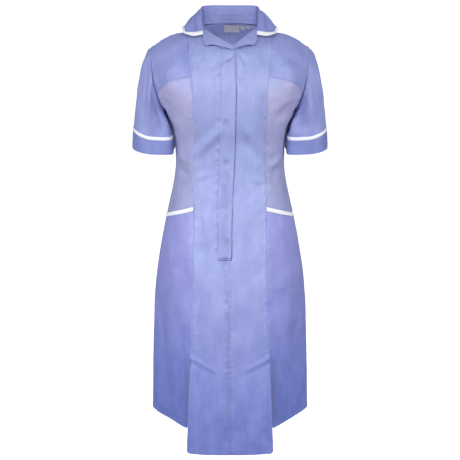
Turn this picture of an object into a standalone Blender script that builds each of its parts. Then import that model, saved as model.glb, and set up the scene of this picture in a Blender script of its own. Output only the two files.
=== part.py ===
"""A short-sleeved nurse uniform dress, standing open and filled out as it is worn.

Lengths are metres. +X is the viewer's right when the front is seen, the front faces -Y and +Z is up.
The origin lies between the two shoulder seams at the height of the neck, where a hanger or the
wearer carries the dress.

The body is one smooth surface. A point of it is found by a place round the body and a level.
The place runs from 0 at the centre front, through 1 at the front panel seam, 2 at the side seam
and 3 at the back panel seam, to 4 at the centre back, and is negative on the other side.
The level is a height up to the underarm. Above it the level rises by BODICE_RISE to the shoulder.
"""

import bpy
import numpy as np

# Cloth and seams
CLOTH = 0.0012
SEAM_GAP = 0.0003
BINDING_THICKNESS = 0.0016
LAYER_GAP = 0.0004

# Levels
FRONT_HEM = -1.0495
SIDE_HEM = -1.030
PLEAT_TOP = -0.7845
UNDERARM = -0.205
BODICE_RISE = 0.2

# Body sections from the hem to the underarm: level, half width, front depth, back depth,
# half distance between the panel seams, and how nearly straight the sides run out to the side seams
SECTIONS = (
    (-1.060, 0.2160, 0.1720, 0.150, 0.1115, 0.92),
    (-0.960, 0.2120, 0.1700, 0.147, 0.1070, 0.86),
    (-0.888, 0.2092, 0.1680, 0.145, 0.1040, 0.78),
    (-0.7845, 0.2040, 0.1650, 0.142, 0.0985, 0.66),
    (-0.693, 0.1988, 0.1590, 0.140, 0.0950, 0.52),
    (-0.624, 0.1914, 0.1530, 0.138, 0.0925, 0.40),
    (-0.557, 0.1800, 0.1460, 0.134, 0.0907, 0.26),
    (-0.490, 0.1668, 0.1360, 0.124, 0.0900, 0.12),
    (-0.430, 0.1532, 0.1240, 0.106, 0.0893, 0.03),
    (-0.380, 0.1420, 0.1150, 0.088, 0.0885, 0.0),
    (-0.340, 0.1362, 0.1110, 0.078, 0.0880, 0.0),
    (-0.300, 0.1358, 0.1130, 0.080, 0.0875, 0.0),
    (-0.260, 0.1378, 0.1190, 0.088, 0.0870, 0.0),
    (-0.230, 0.1440, 0.1270, 0.098, 0.0868, 0.0),
    (-0.205, 0.1560, 0.1310, 0.104, 0.0868, 0.0),
)
SECTION_ROUNDNESS = 2.2

# Bodice lines above the underarm, at steps of a fifth of the rise: x, y, z
FRONT_LINES = {
    "centre": (
        (0, -0.1335, -0.165), (0, -0.1325, -0.125), (0, -0.122, -0.088),
        (0, -0.104, -0.058), (0, -0.085, -0.034),
    ),
    "panel seam": (
        (0.0876, -0.119, -0.165), (0.0895, -0.1175, -0.125), (0.0929, -0.102, -0.085),
        (0.0972, -0.062, -0.041), (0.0998, 0.0, -0.010),
    ),
    "side middle": (
        (0.1390, -0.0915, -0.1745), (0.1430, -0.1005, -0.136), (0.1440, -0.0925, -0.096),
        (0.1450, -0.0570, -0.053), (0.1454, 0.0, -0.0205),
    ),
    "armhole": (
        (0.1625, -0.038, -0.190), (0.1735, -0.052, -0.157), (0.1820, -0.053, -0.121),
        (0.1880, -0.036, -0.080), (0.1910, 0.0, -0.049),
    ),
}
BACK_LINES = {
    "centre": (
        (0, 0.1090, -0.165), (0, 0.1120, -0.125), (0, 0.1100, -0.083),
        (0, 0.0950, -0.038), (0, 0.0600, 0.002),
    ),
    "panel seam": (
        (0.0885, 0.0960, -0.165), (0.0910, 0.1000, -0.125), (0.0940, 0.0940, -0.085),
        (0.0980, 0.0620, -0.041), (0.0998, 0.0, -0.010),
    ),
    "side middle": (
        (0.1370, 0.0700, -0.1735), (0.1420, 0.0830, -0.136), (0.1450, 0.0810, -0.097),
        (0.1455, 0.0530, -0.055), (0.1454, 0.0, -0.0205),
    ),
    "armhole": (
        (0.1610, 0.036, -0.190), (0.1695, 0.054, -0.158), (0.1775, 0.060, -0.121),
        (0.1855, 0.042, -0.080), (0.1910, 0.0, -0.049),
    ),
}
LINE_PLACES = (0.0, 1.0, 1.5, 2.0)
BACK_OF_SIDE = 2.0001

# Neck: the part of a centre panel that the neck opening takes, and the back neck curve
NECK_SHARE = 0.66
FRONT_NECK_POINT = (0.0, -0.085, -0.034)
SIDE_NECK_POINT = (0.0659, 0.0, 0.0)
BACK_NECK_DEPTH = 0.060
BACK_NECK_RISE = 0.002
BACK_NECK_ROUNDNESS = 2.6
# The lapped front draws the bottom of the neck opening aside, from this level up
NECK_SHIFT = 0.006
NECK_SHIFT_FROM = -0.120

# Row levels: at the panel seams and at the side seam, where the pocket mouth slopes down
SKIRT_ROWS = (
    (-1.030, -1.030), (-0.985, -0.985), (-0.940, -0.940), (-0.895, -0.895), (-0.858, -0.858),
    (-0.820, -0.820), (-0.7845, -0.7845), (-0.735, -0.735), (-0.685, -0.685), (-0.6335, -0.6335),
    (-0.585, -0.590), (-0.535, -0.552), (-0.490, -0.523), (-0.458, -0.500), (-0.4280, -0.4755),
    (-0.4198, -0.4672), (-0.375, -0.415), (-0.335, -0.365), (-0.300, -0.320), (-0.265, -0.280),
    (-0.235, -0.240), (-0.205, -0.205),
)
PLEAT_ROW = 6
POCKET_BOTTOM_ROW = 9
PLACKET_END_ROW = 11
BINDING_ROW = 14
MOUTH_ROW = 15
UNDERARM_ROW = 21
ROWS_TO_YOKE = 4
ROWS_ABOVE_YOKE = 5
YOKE_ROW = UNDERARM_ROW + ROWS_TO_YOKE
TOP_ROW = YOKE_ROW + ROWS_ABOVE_YOKE
YOKE_SHARE_AT_PANEL_SEAM = 0.518
YOKE_SHARE_AT_ARMHOLE = 0.42

# Front opening: level and distance of the lapping edge from the middle
LAP_EDGE = (
    (-0.600, 0.0008), (-0.560, 0.0012), (-0.535, 0.0060), (-0.400, 0.0062), (-0.360, 0.0085),
    (-0.300, 0.0130), (-0.150, 0.0138), (-0.100, 0.0125), (-0.040, 0.0085), (-0.005, 0.0060),
)
LAP_INNER_END = -0.024
UNDERLAP_END = 0.026
UNDERLAP_STEP = 0.0009
STUD_SPACE = 0.0024
STUD_RADIUS = 0.0050
STUD_THICKNESS = 0.0009
STUD_SIDES = 12
STUD_X = -0.008
STUD_LEVELS = (-0.130, -0.232, -0.335, -0.440, -0.505)

# Kick pleats: how far the loose edges stand apart at the hem, and the fold of the cloth between them
PLEAT_FORWARD_CENTRE = 0.040
PLEAT_FORWARD_EDGE = 0.012
PLEAT_BACKWARD = 0.039
PLEAT_OUTWARD = 0.0045
PLEAT_SPREAD_POWER = 1.3
PLEAT_SIDE_POWER = 1.2
PLEAT_LEVELS = (-1.024, -0.985, -0.940, -0.895, -0.858, -0.830)
PLEAT_FOLD_X = 0.050
PLEAT_FOLD_X_RISE = 0.012
PLEAT_FOLD_PLACE = 0.5
PLEAT_FOLD_DEPTH = 0.0075
PLEAT_EDGE_DEPTH = 0.0036

# Sleeves: middle, half width and half depth of the ring at the cuff's top and at the hem
SLEEVE_ROWS = 8
SLEEVE_END = (0.1905, 0.0480, 0.056)
SLEEVE_HEM = (0.1920, 0.0505, 0.058)
SLEEVE_INNER_ROUNDNESS = 3.2
# The inner side of a sleeve follows the body: its half width, half depth and roundness there
BODY_BESIDE_SLEEVE = (0.1375, 0.115, 2.2)
MOST_INNER_BULGE = 0.010
# Directions in which the cloth leaves the armhole and arrives at the cuff, over the arm, in front
# of it and under it. The front one is turned round for the back.
LEAVE_CROWN = (0.078, 0.0, -0.055)
LEAVE_FRONT = (0.055, -0.030, -0.090)
LEAVE_UNDER = (-0.004, 0.0, -0.055)
ARRIVE_CROWN = (0.030, 0.0, -0.240)
ARRIVE_FRONT = (0.004, 0.0, -0.150)
ARRIVE_UNDER = (0.002, 0.0, -0.050)
CROWN_POWER = 1.2
# Cuffs: height, tilt outward and sag at the front of the top and of the hem
CUFF_TOP = (-0.2475, 0.0075, -0.0072)
CUFF_HEM = (-0.2975, 0.0045, -0.001)
CUFF_TRIM_HEIGHT = 0.008

# Collar, from the centre back (0) to its front end (1):
# place, then x, y, z of the neck seam, of the fold, of the middle of the fall and of its edge
COLLAR_STATIONS = (
    (0.00, (0.0000, 0.0598, 0.0028), (0.0000, 0.0690, 0.0437),
     (0.0000, 0.0880, 0.0120), (0.0000, 0.1010, -0.0340)),
    (0.20, (0.0330, 0.0560, 0.0020), (0.0400, 0.0665, 0.0441),
     (0.0480, 0.0850, 0.0130), (0.0540, 0.0980, -0.0360)),
    (0.38, (0.0560, 0.0400, 0.0020), (0.0655, 0.0540, 0.0434),
     (0.0805, 0.0740, 0.0160), (0.0930, 0.0830, -0.0310)),
    (0.58, (0.0645, 0.0180, 0.0022), (0.0676, 0.0320, 0.0365),
     (0.0925, 0.0380, 0.0212), (0.1120, 0.0400, -0.0120)),
    (0.80, (0.0645, 0.0000, 0.0020), (0.0660, 0.0000, 0.0165),
     (0.0890, -0.0040, 0.0120), (0.1145, -0.0040, -0.0040)),
    (1.00, (0.0600, -0.0230, -0.0075), (0.0625, -0.0360, -0.0135),
     (0.0870, -0.0440, -0.0155), (0.1090, -0.0300, -0.0105)),
)
# Shares across the collar of the neck seam, the roll before and after the fold, the middle and the edge
COLLAR_KNOTS = (0, 0.26, 0.33, 0.40, 0.68, 1.0)
COLLAR_ACROSSES = (0.0, 0.13, 0.26, 0.33, 0.40, 0.54, 0.68, 0.81)
COLLAR_PLACES = (0, 0.1, 0.2, 0.29, 0.38, 0.48, 0.58, 0.69, 0.8, 0.9)
COLLAR_ROLL = 0.0045
COLLAR_ROLL_MOST = 0.45
COLLAR_THICKNESS = 0.0016
# The white edge covers the fall beyond these shares, less a gap, and starts near the roll
TRIM_PLACE = 0.953
TRIM_ACROSS = 0.922
TRIM_PLACE_GAP = 0.004
TRIM_ACROSS_GAP = 0.006
TRIM_END_ACROSSES = (0.35, 0.45, 0.58, 0.70, 0.82, 0.88)
TRIM_PLACES = (0.93, 0.87, 0.8, 0.69, 0.58, 0.48, 0.38, 0.29, 0.2, 0.1, 0.0)
TRIM_CORNER_POWER = 0.86
TRIM_EXTRA_THICKNESS = 0.0004

# Revers: how far down the front they reach, as a share of the bodice rise, at places from the middle
REVER_REACH = ((0.0, 0.085), (0.25, 0.105), (0.45, 0.135), (0.56, 0.155), (0.62, 0.125), (0.655, 0.03))
REVER_LIFT = (0.0008, 0.0026)
REVER_PLACES = (0.10, 0.20, 0.30, 0.40, 0.48, 0.55, 0.60, 0.632)
REVER_FIRST_PLACE = {1: 0.055, -1: -0.04}
REVER_ROWS = 5
REVER_TOP_GAP = 0.0004

# Neck label and two size tabs: x from, x to, length down the inside of the back
LABELS = {
    "neck_label": (-0.0150, 0.0238, 0.026),
    "size_tab_large": (0.0250, 0.0360, 0.016),
    "size_tab_small": (0.0385, 0.0500, 0.011),
}
LABEL_THICKNESS = 0.001
LABEL_GAP = 0.0012
LABEL_TOP_GAP = 0.0015
LABEL_LEVEL_PER_LENGTH = 0.78
BACK_PANEL_X_AT_NECK = 0.0985

CLOTH_COLOUR = (0.315, 0.335, 0.640)
WHITE_COLOUR = (0.86, 0.84, 0.87)
LABEL_COLOUR = (0.40, 0.34, 0.33)
STUD_COLOUR = (0.75, 0.75, 0.78)


def through(knots, values, at):
    """A smooth curve through the values, given at rising knots, read at one place."""
    knots = np.asarray(knots, float)
    values = np.asarray(values, float)
    last = len(knots) - 1
    left = int(np.clip(np.searchsorted(knots, at) - 1, 0, last - 1))
    steps = np.diff(knots)
    rises = np.diff(values, axis=0) / steps.reshape((-1,) + (1,) * (values.ndim - 1))

    def slope(i):
        if i == 0:
            return rises[0]
        if i == last:
            return rises[-1]
        return (rises[i - 1] * steps[i] + rises[i] * steps[i - 1]) / (steps[i] + steps[i - 1])

    step = steps[left]
    share = (at - knots[left]) / step
    square = share * share
    cube = square * share
    return (
        values[left] * (2 * cube - 3 * square + 1)
        + slope(left) * step * (cube - 2 * square + share)
        + values[left + 1] * (3 * square - 2 * cube)
        + slope(left + 1) * step * (cube - square)
    )


def unit(vectors):
    """The vectors at length one."""
    lengths = np.linalg.norm(vectors, axis=-1, keepdims=True)
    return vectors / np.maximum(lengths, 1e-12)


def section_point(place, row):
    """A point of one horizontal section: place from 0 at the front to 4 at the back."""
    level, half_width, front_depth, back_depth, seam_x, flatness = row
    quarter = place if place <= 2 else 4 - place
    depth = -front_depth if place <= 2 else back_depth
    power = SECTION_ROUNDNESS
    if quarter <= 1:
        x = quarter * seam_x
        return (x, depth * (1 - (x / half_width) ** power) ** (1 / power), level)
    seam_turn = np.arcsin((seam_x / half_width) ** (power / 2))
    turn = seam_turn + (np.pi / 2 - seam_turn) * (quarter - 1)
    x = half_width * np.sin(turn) ** (2 / power)
    y = depth * max(np.cos(turn), 0.0) ** (2 / power)
    seam_y = depth * np.cos(seam_turn) ** (2 / power)
    straight_x = seam_x + (half_width - seam_x) * (quarter - 1)
    straight_y = seam_y * (2 - quarter)
    return (x + (straight_x - x) * flatness, y + (straight_y - y) * flatness, level)


def neck_edge(share, front):
    """The neck opening between its middle (0) and the side of the neck (1)."""
    side = np.array(SIDE_NECK_POINT)
    if front:
        return np.array(FRONT_NECK_POINT) * (1 - share) + side * share
    power = BACK_NECK_ROUNDNESS
    depth = BACK_NECK_DEPTH * (1 - share ** power) ** (1 / power)
    return np.array((side[0] * share, depth, BACK_NECK_RISE * (1 - share)))


def line_points(lines, quarter, front):
    """The bodice points above the underarm at one place of the front or the back."""
    knots = (-LINE_PLACES[1],) + LINE_PLACES
    found = []
    for step in range(5):
        row = [lines[name][step] for name in lines]
        mirrored = (-row[1][0], row[1][1], row[1][2])
        found.append(through(knots, [mirrored] + row, quarter))
    if quarter < NECK_SHARE:
        found[-1] = neck_edge(quarter / NECK_SHARE, front)
    else:
        ridge = [SIDE_NECK_POINT] + [lines[name][-1] for name in list(lines)[1:]]
        found[-1] = through((NECK_SHARE,) + LINE_PLACES[1:], ridge, quarter)
    return found


COLUMNS = {}


def column(place):
    """The levels and points of the upright line at one place, from 0 to 4."""
    key = round(place, 6)
    if key not in COLUMNS:
        front = place <= 2
        quarter = place if front else 4 - place
        lines = FRONT_LINES if front else BACK_LINES
        points = [section_point(place, row) for row in SECTIONS]
        levels = [row[0] for row in SECTIONS]
        points += list(line_points(lines, quarter, front))
        levels += [UNDERARM + BODICE_RISE * (step + 1) / 5 for step in range(5)]
        COLUMNS[key] = (levels, np.array(points, float))
    return COLUMNS[key]


def pleat_shift(quarter, level, layer):
    """How the loose parts beside a kick pleat stand off the closed skirt."""
    drop = (PLEAT_TOP - level) / (PLEAT_TOP - FRONT_HEM)
    if drop <= 0 or layer not in ("centre", "side"):
        return np.zeros(3)
    opened = drop ** PLEAT_SPREAD_POWER
    if layer == "centre":
        return np.array((0, -(PLEAT_FORWARD_CENTRE + PLEAT_FORWARD_EDGE * quarter ** 2) * opened, 0))
    near = max(2 - quarter, 0) ** PLEAT_SIDE_POWER
    return np.array((PLEAT_OUTWARD, PLEAT_BACKWARD, 0)) * near * opened


def body(place, level, layer):
    """A point of the outer face of the dress. The layer is centre, side or back."""
    if place > 4:
        place -= 8
    mirror = place < 0
    place = abs(place)
    if layer == "centre":
        place = min(place, 1.0)
    if layer == "side":
        place = max(place, 1.0) if level < PLEAT_TOP else place
        place = min(place, 2.0) if level > UNDERARM else place
    if layer == "back" and level > UNDERARM:
        place = max(place, BACK_OF_SIDE)
    levels, points = column(place)
    point = through(levels, points, level)
    if place <= 2:
        point = point + pleat_shift(place, level, layer)
    if mirror:
        point = point * (-1, 1, 1)
    rise = min(max((level - NECK_SHIFT_FROM) / (UNDERARM + BODICE_RISE - NECK_SHIFT_FROM), 0), 1)
    if place < NECK_SHARE and rise > 0:
        point = point + (NECK_SHIFT * rise * (1 - place / NECK_SHARE) ** 2, 0, 0)
    return point


def body_normal(place, level, layer):
    """The outward direction of the dress at a point."""
    wide, tall = 0.03, 0.005
    loose = "side" if layer == "centre" and level > PLEAT_TOP else layer
    across = body(place + wide, level, loose) - body(place - wide, level, loose)
    up = body(place, min(level + tall, UNDERARM + BODICE_RISE), layer) - body(place, level - tall, layer)
    return unit(np.cross(across, up))


def row_level(row, place):
    """The level of a numbered row line at a place from 0 to 4."""
    aside = 1 - min(abs(abs(place) - 2), 1)
    if row <= UNDERARM_ROW:
        at_seam, at_side = SKIRT_ROWS[row]
        return at_seam + (at_side - at_seam) * aside
    drop = 0.3 * aside + 0.7 * aside ** 6
    yoke = YOKE_SHARE_AT_PANEL_SEAM + (YOKE_SHARE_AT_ARMHOLE - YOKE_SHARE_AT_PANEL_SEAM) * drop
    if row <= YOKE_ROW:
        share = yoke * (row - UNDERARM_ROW) / ROWS_TO_YOKE
    else:
        share = yoke + (1 - yoke) * (row - YOKE_ROW) / ROWS_ABOVE_YOKE
    return UNDERARM + BODICE_RISE * share


def centre_level(row):
    """The level of a row on the centre front panel, whose hem hangs a little lower."""
    level = SKIRT_ROWS[row][0] if row <= UNDERARM_ROW else row_level(row, 1)
    if row < PLEAT_ROW:
        share = (PLEAT_TOP - level) / (PLEAT_TOP - SIDE_HEM)
        return PLEAT_TOP + (FRONT_HEM - PLEAT_TOP) * share
    return level


def tucked(grid, left=True, right=True, bottom=True, top=True, by=SEAM_GAP / 2):
    """The grid with its chosen borders drawn in a little, so that neighbours don't touch."""
    grid = grid.copy()
    if left:
        grid[:, 0] += unit(grid[:, 1] - grid[:, 0]) * by
    if right:
        grid[:, -1] += unit(grid[:, -2] - grid[:, -1]) * by
    if bottom:
        grid[0] += unit(grid[1] - grid[0]) * by
    if top:
        grid[-1] += unit(grid[-2] - grid[-1]) * by
    return grid


def grid_normals(grid, ring=False):
    """Normals of a grid of points, across columns and then up rows."""
    if ring:
        across = np.roll(grid, -1, axis=1) - np.roll(grid, 1, axis=1)
    else:
        across = np.gradient(grid, axis=1)
    return unit(np.cross(across, np.gradient(grid, axis=0)))


def make_material(name, colour, roughness):
    """A plain material for a kind of piece."""
    material = bpy.data.materials.new(name)
    material.use_nodes = True
    shader = material.node_tree.nodes["Principled BSDF"]
    shader.inputs["Base Color"].default_value = (*colour, 1)
    shader.inputs["Roughness"].default_value = roughness
    shader.inputs["Metallic"].default_value = 0.0
    return material


def add_object(name, points, faces, material, smooth=True):
    """One closed mesh object, turned right side out."""
    points = np.asarray(points, float)
    volume = 0.0
    for face in faces:
        first = points[face[0]]
        for second, third in zip(face[1:-1], face[2:]):
            volume += np.dot(first, np.cross(points[second], points[third]))
    if volume < 0:
        faces = [face[:1] + face[:0:-1] for face in faces]
    mesh = bpy.data.meshes.new(name)
    mesh.from_pydata(points.tolist(), [], faces)
    mesh.update()
    for polygon in mesh.polygons:
        polygon.use_smooth = smooth
    made = bpy.data.objects.new(name, mesh)
    bpy.context.collection.objects.link(made)
    mesh.materials.append(material)
    return made


def add_sheet(name, outer, inner, material, ring=False, turned_rim=0):
    """A sheet of cloth between two grids of points, open or closed into a ring.

    The first faces of the top rim, as many as turned_rim, are split the other way to meet a neighbour.
    """
    rows, columns = outer.shape[:2]
    points = np.concatenate((outer.reshape(-1, 3), inner.reshape(-1, 3)))
    back = rows * columns
    faces = []
    spans = columns if ring else columns - 1
    for row in range(rows - 1):
        for col in range(spans):
            a = row * columns + col
            b = row * columns + (col + 1) % columns
            c, d = b + columns, a + columns
            faces.append((a, b, c, d))
            faces.append((back + a, back + d, back + c, back + b))
    for col in range(spans):
        a, b = col, (col + 1) % columns
        faces.append((a, back + a, back + b, b))
        a, b = a + (rows - 1) * columns, b + (rows - 1) * columns
        rim = (a, b, back + b, back + a)
        faces.append(rim[1:] + rim[:1] if col < turned_rim else rim)
    if not ring:
        for row in range(rows - 1):
            a, b = row * columns, (row + 1) * columns
            faces.append((a, b, back + b, back + a))
            a, b = a + columns - 1, b + columns - 1
            faces.append((a, back + a, back + b, b))
    return add_object(name, points, faces, material)


def panel_seam_x(level):
    """How far the panel seams are from the middle at a level of the lower body."""
    return np.interp(level, [row[0] for row in SECTIONS], [row[4] for row in SECTIONS])


def lap_place(level):
    """The place of the front opening edge at a level."""
    return np.interp(level, [row[0] for row in LAP_EDGE], [row[1] for row in LAP_EDGE]) / panel_seam_x(level)


def front_centre_grid(side):
    """Points and normals of a centre front panel. The side is +1 for the viewer's right."""
    grid, normals = [], []
    for row in range(TOP_ROW + 1):
        level = centre_level(row)
        edge = lap_place(level)
        seam = panel_seam_x(level)
        lap_end = LAP_INNER_END / seam
        if side > 0:
            places = [edge, UNDERLAP_END / seam, 0.48, NECK_SHARE, 0.83, 1.0]
        else:
            places = [-1.0, -0.83, -NECK_SHARE, -0.48, lap_end, 0.5 * (lap_end + edge), edge]
        grid.append([body(place, level, "centre") for place in places])
        normals.append([body_normal(place, level, "centre") for place in places])
    return np.array(grid), np.array(normals)


def side_grid(side, layer, rows, places):
    """Points and normals of a part of the body on one side."""
    grid, normals = [], []
    for row in rows:
        points, directions = [], []
        for place in places:
            level = row_level(row, place)
            points.append(body(place, level, layer))
            directions.append(body_normal(place, level, layer))
        grid.append(points)
        normals.append(directions)
    grid, normals = np.array(grid), np.array(normals)
    if side < 0:
        grid = grid[:, ::-1] * (-1, 1, 1)
        normals = normals[:, ::-1] * (-1, 1, 1)
    return grid, normals


def sleeve_section(turn, size, level):
    """A point of a sleeve ring. A turn of 0 faces outward, a quarter turn faces the front."""
    middle, half_width, half_depth = size
    out, depth = np.cos(turn), np.sin(turn)
    power = 2.0 if out > 0 else SLEEVE_INNER_ROUNDNESS
    share = abs(out) ** (2 / power) * (1 if out > 0 else -1)
    y = -half_depth * abs(depth) ** (2 / power) * (1 if depth > 0 else -1)
    x = middle + half_width * share
    if out < 0:
        body_width, body_depth, roundness = BODY_BESIDE_SLEEVE
        forward = min(abs(y) / body_depth, 1)
        bulge = body_width * (1 - (1 - forward ** roundness) ** (1 / roundness))
        x -= min(bulge, MOST_INNER_BULGE) * min(-out * 2, 1)
    height, tilt, sag = level
    z = height + tilt * out + sag * (1 - np.cos(2 * turn)) / 2
    return np.array((x, y, z))


def armhole_loop():
    """Armhole points from the shoulder tip down the front, round the underarm and up the back."""
    rows = list(range(TOP_ROW, UNDERARM_ROW - 1, -1))
    front = [body(2.0, row_level(row, 2), "side") for row in rows]
    back = [body(BACK_OF_SIDE, row_level(row, 2), "back") for row in rows[::-1]]
    return np.array(front + back[1:-1])


def sleeve_rings():
    """The rings of a sleeve on the viewer's right, from the hem up to the armhole."""
    loop = armhole_loop()
    count = len(loop)
    rings = [[] for _ in range(SLEEVE_ROWS + 3)]
    for index in range(count):
        turn = 2 * np.pi * index / count
        start = loop[index]
        hem = sleeve_section(turn, SLEEVE_HEM, CUFF_HEM)
        end = sleeve_section(turn, SLEEVE_END, CUFF_TOP)
        below = end + (hem - end) * (CUFF_TRIM_HEIGHT / np.linalg.norm(hem - end))
        crown = max(np.cos(turn), 0.0) ** CROWN_POWER
        under = max(-np.cos(turn), 0.0) ** CROWN_POWER
        flank = 1 - crown - under
        facing = np.array((1, np.sin(turn), 1))
        leave = (
            crown * np.array(LEAVE_CROWN)
            + flank * np.array(LEAVE_FRONT) * facing
            + under * np.array(LEAVE_UNDER)
        )
        arrive = (
            crown * np.array(ARRIVE_CROWN)
            + flank * np.array(ARRIVE_FRONT) * facing
            + under * np.array(ARRIVE_UNDER)
        )
        for step in range(SLEEVE_ROWS + 1):
            share = step / SLEEVE_ROWS
            square, cube = share ** 2, share ** 3
            point = (
                start * (2 * cube - 3 * square + 1)
                + leave * (cube - 2 * square + share)
                + end * (3 * square - 2 * cube)
                + arrive * (cube - square)
            )
            rings[SLEEVE_ROWS + 2 - step].append(point)
        rings[1].append(below)
        rings[0].append(hem)
    grid = np.array(rings)
    normals = grid_normals(grid, ring=True)
    centre = grid.mean(axis=1, keepdims=True)
    outward = np.sum(normals * (grid - centre), axis=-1).mean()
    return grid, normals * (1 if outward > 0 else -1)


def shared(first, second):
    """One direction for two pieces that meet, long enough to keep their thickness."""
    both = unit(first + second)
    return both / np.maximum(np.sum(both * first, axis=-1, keepdims=True), 0.5)


def shoulder_normals(layer, places):
    """Normals along the shoulder seam, seen from the front or the back panels."""
    top = UNDERARM + BODICE_RISE
    return np.array([body_normal(place, top, layer) for place in places])


def add_body(cloth):
    """The centre fronts, the side fronts and the back, and the sleeves that join them."""
    sleeve, sleeve_normals = sleeve_rings()
    half = len(sleeve[0]) // 2
    columns = [1 + step / 6 for step in range(7)]
    lower_rows = range(0, MOUTH_ROW + 1)
    upper_rows = range(POCKET_BOTTOM_ROW, YOKE_ROW + 1)
    yoke_rows = range(YOKE_ROW, TOP_ROW + 1)
    back_rows = range(0, TOP_ROW + 1)
    back_columns = [2 + step / 6 for step in range(7)]
    back_columns[0] = BACK_OF_SIDE
    back_middle = [3, 3.17, 4 - NECK_SHARE, 3.5, 3.65, 3.82, 4]
    down = list(range(TOP_ROW, UNDERARM_ROW - 1, -1))
    armhole = sleeve_normals[-1]
    _, full_front = side_grid(1, "side", range(0, TOP_ROW + 1), columns)
    _, full_back = side_grid(1, "back", back_rows, back_columns)
    loop_normals = np.array(armhole)
    for index, row in enumerate(down):
        loop_normals[index] = shared(full_front[row, -1], armhole[index])
        if 0 < index < half:
            loop_normals[-index] = shared(full_back[row, 0], armhole[-index])
    tip = unit(full_front[TOP_ROW, -1] + full_back[TOP_ROW, 0] + armhole[0])
    loop_normals[0] = tip * 1.15
    loop_normals[half] = np.array((0.15, 0, -0.99)) * 1.2

    def at_armhole(normals, rows, edge, front):
        for local, row in enumerate(rows):
            if row >= UNDERARM_ROW:
                index = TOP_ROW - row
                normals[local, edge] = loop_normals[index if front else -index]

    def at_shoulder(normals, other):
        normals[-1] = shared(normals[-1], other)

    ridge_front = side_grid(1, "side", [TOP_ROW], columns)[1][0]
    ridge_back = side_grid(1, "back", [TOP_ROW], back_columns)[1][0][::-1]
    for side, word in ((1, "left"), (-1, "right")):
        flip = np.array((side, 1, 1))

        def turned(grid):
            return (grid[:, ::-1] if side < 0 else grid) * flip

        grid, normals = side_grid(1, "side", lower_rows, columns)
        grid = tucked(grid, top=False, bottom=False)
        add_sheet(f"skirt_side_front_{word}", turned(grid), turned(grid - normals * CLOTH), cloth)

        grid, normals = side_grid(1, "side", upper_rows, columns)
        at_armhole(normals, upper_rows, -1, True)
        sunk = np.zeros(len(upper_rows))
        for local, row in enumerate(upper_rows):
            if row <= MOUTH_ROW:
                sunk[local] = CLOTH + LAYER_GAP
        grid = tucked(grid, bottom=False) - normals * sunk[:, None, None]
        add_sheet(f"bodice_side_front_{word}", turned(grid), turned(grid - normals * CLOTH), cloth)

        grid, normals = side_grid(1, "side", yoke_rows, columns)
        at_armhole(normals, yoke_rows, -1, True)
        normals[-1, :-1] = shared(ridge_front[:-1], ridge_back[:-1])
        grid = tucked(grid)
        add_sheet(f"yoke_front_{word}", turned(grid), turned(grid - normals * CLOTH), cloth)

        grid, normals = side_grid(1, "back", back_rows, back_columns)
        at_armhole(normals, back_rows, 0, False)
        normals[-1, 1:] = shared(ridge_back[::-1][1:], ridge_front[::-1][1:])
        grid = tucked(grid, bottom=False)
        add_sheet(f"side_back_{word}", turned(grid), turned(grid - normals * CLOTH), cloth)

        grid, normals = side_grid(1, "back", back_rows, back_middle)
        normals[-1, :3] = shared(normals[-1, :3], shoulder_normals("centre", (1.0, 0.83, NECK_SHARE)))
        grid = tucked(grid, bottom=False)
        add_sheet(f"centre_back_{word}", turned(grid), turned(grid - normals * CLOTH), cloth)

        normals = sleeve_normals.copy()
        normals[-1] = loop_normals
        grid = sleeve.copy()
        grid[-1] += unit(grid[-2] - grid[-1]) * (SEAM_GAP / 2)
        add_sheet(f"sleeve_{word}", grid * flip, (grid - normals * CLOTH) * flip, cloth, True, half)

    for side, word in ((1, "left"), (-1, "right")):
        grid, normals = front_centre_grid(side)
        ridge = shoulder_normals("back", (3.0, 3.17, 4 - NECK_SHARE))
        if side > 0:
            normals[-1, -3:] = shared(normals[-1, -3:], ridge[::-1])
        else:
            normals[-1, :3] = shared(normals[-1, :3], ridge * (-1, 1, 1))
        grid = tucked(grid, bottom=False)
        add_sheet(f"centre_front_{word}", grid, grid - normals * CLOTH, cloth)
    return sleeve, sleeve_normals


def add_cuffs(sleeve, normals, cloth, white):
    """The turned-back cuffs and the white edge along their tops."""
    lift = LAYER_GAP + CLOTH
    trim_lift = LAYER_GAP + BINDING_THICKNESS
    for side, word in ((1, "left"), (-1, "right")):
        flip = np.array((side, 1, 1))
        cuff = np.array((sleeve[0], 0.5 * (sleeve[0] + sleeve[1]), sleeve[1]))
        facing = unit(np.array((normals[0], normals[0] + normals[1], normals[1])))
        outer = cuff + facing * lift
        inner = cuff + facing * LAYER_GAP
        add_sheet(f"cuff_{word}", outer * flip, inner * flip, cloth, ring=True)
        band = np.array((sleeve[1], sleeve[2]))
        band[0] += unit(band[1] - band[0]) * SEAM_GAP
        facing = unit(np.array((normals[1], normals[2])))
        outer = band + facing * trim_lift
        inner = band + facing * LAYER_GAP
        add_sheet(f"cuff_trim_{word}", outer * flip, inner * flip, white, ring=True)


def add_pocket_bindings(white):
    """The white bound edge of each pocket mouth, lying on the skirt."""
    columns = [1 + step / 6 for step in range(7)]
    for side, word in ((1, "left"), (-1, "right")):
        flip = np.array((side, 1, 1))
        grid, normals = side_grid(1, "side", (BINDING_ROW, MOUTH_ROW), columns)
        grid = tucked(grid, bottom=False, top=False, by=0.0006)
        outer = grid + normals * (LAYER_GAP + CLOTH)
        inner = grid + normals * LAYER_GAP
        if side < 0:
            outer, inner = outer[:, ::-1], inner[:, ::-1]
        add_sheet(f"pocket_binding_{word}", outer * flip, inner * flip, white)


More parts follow.
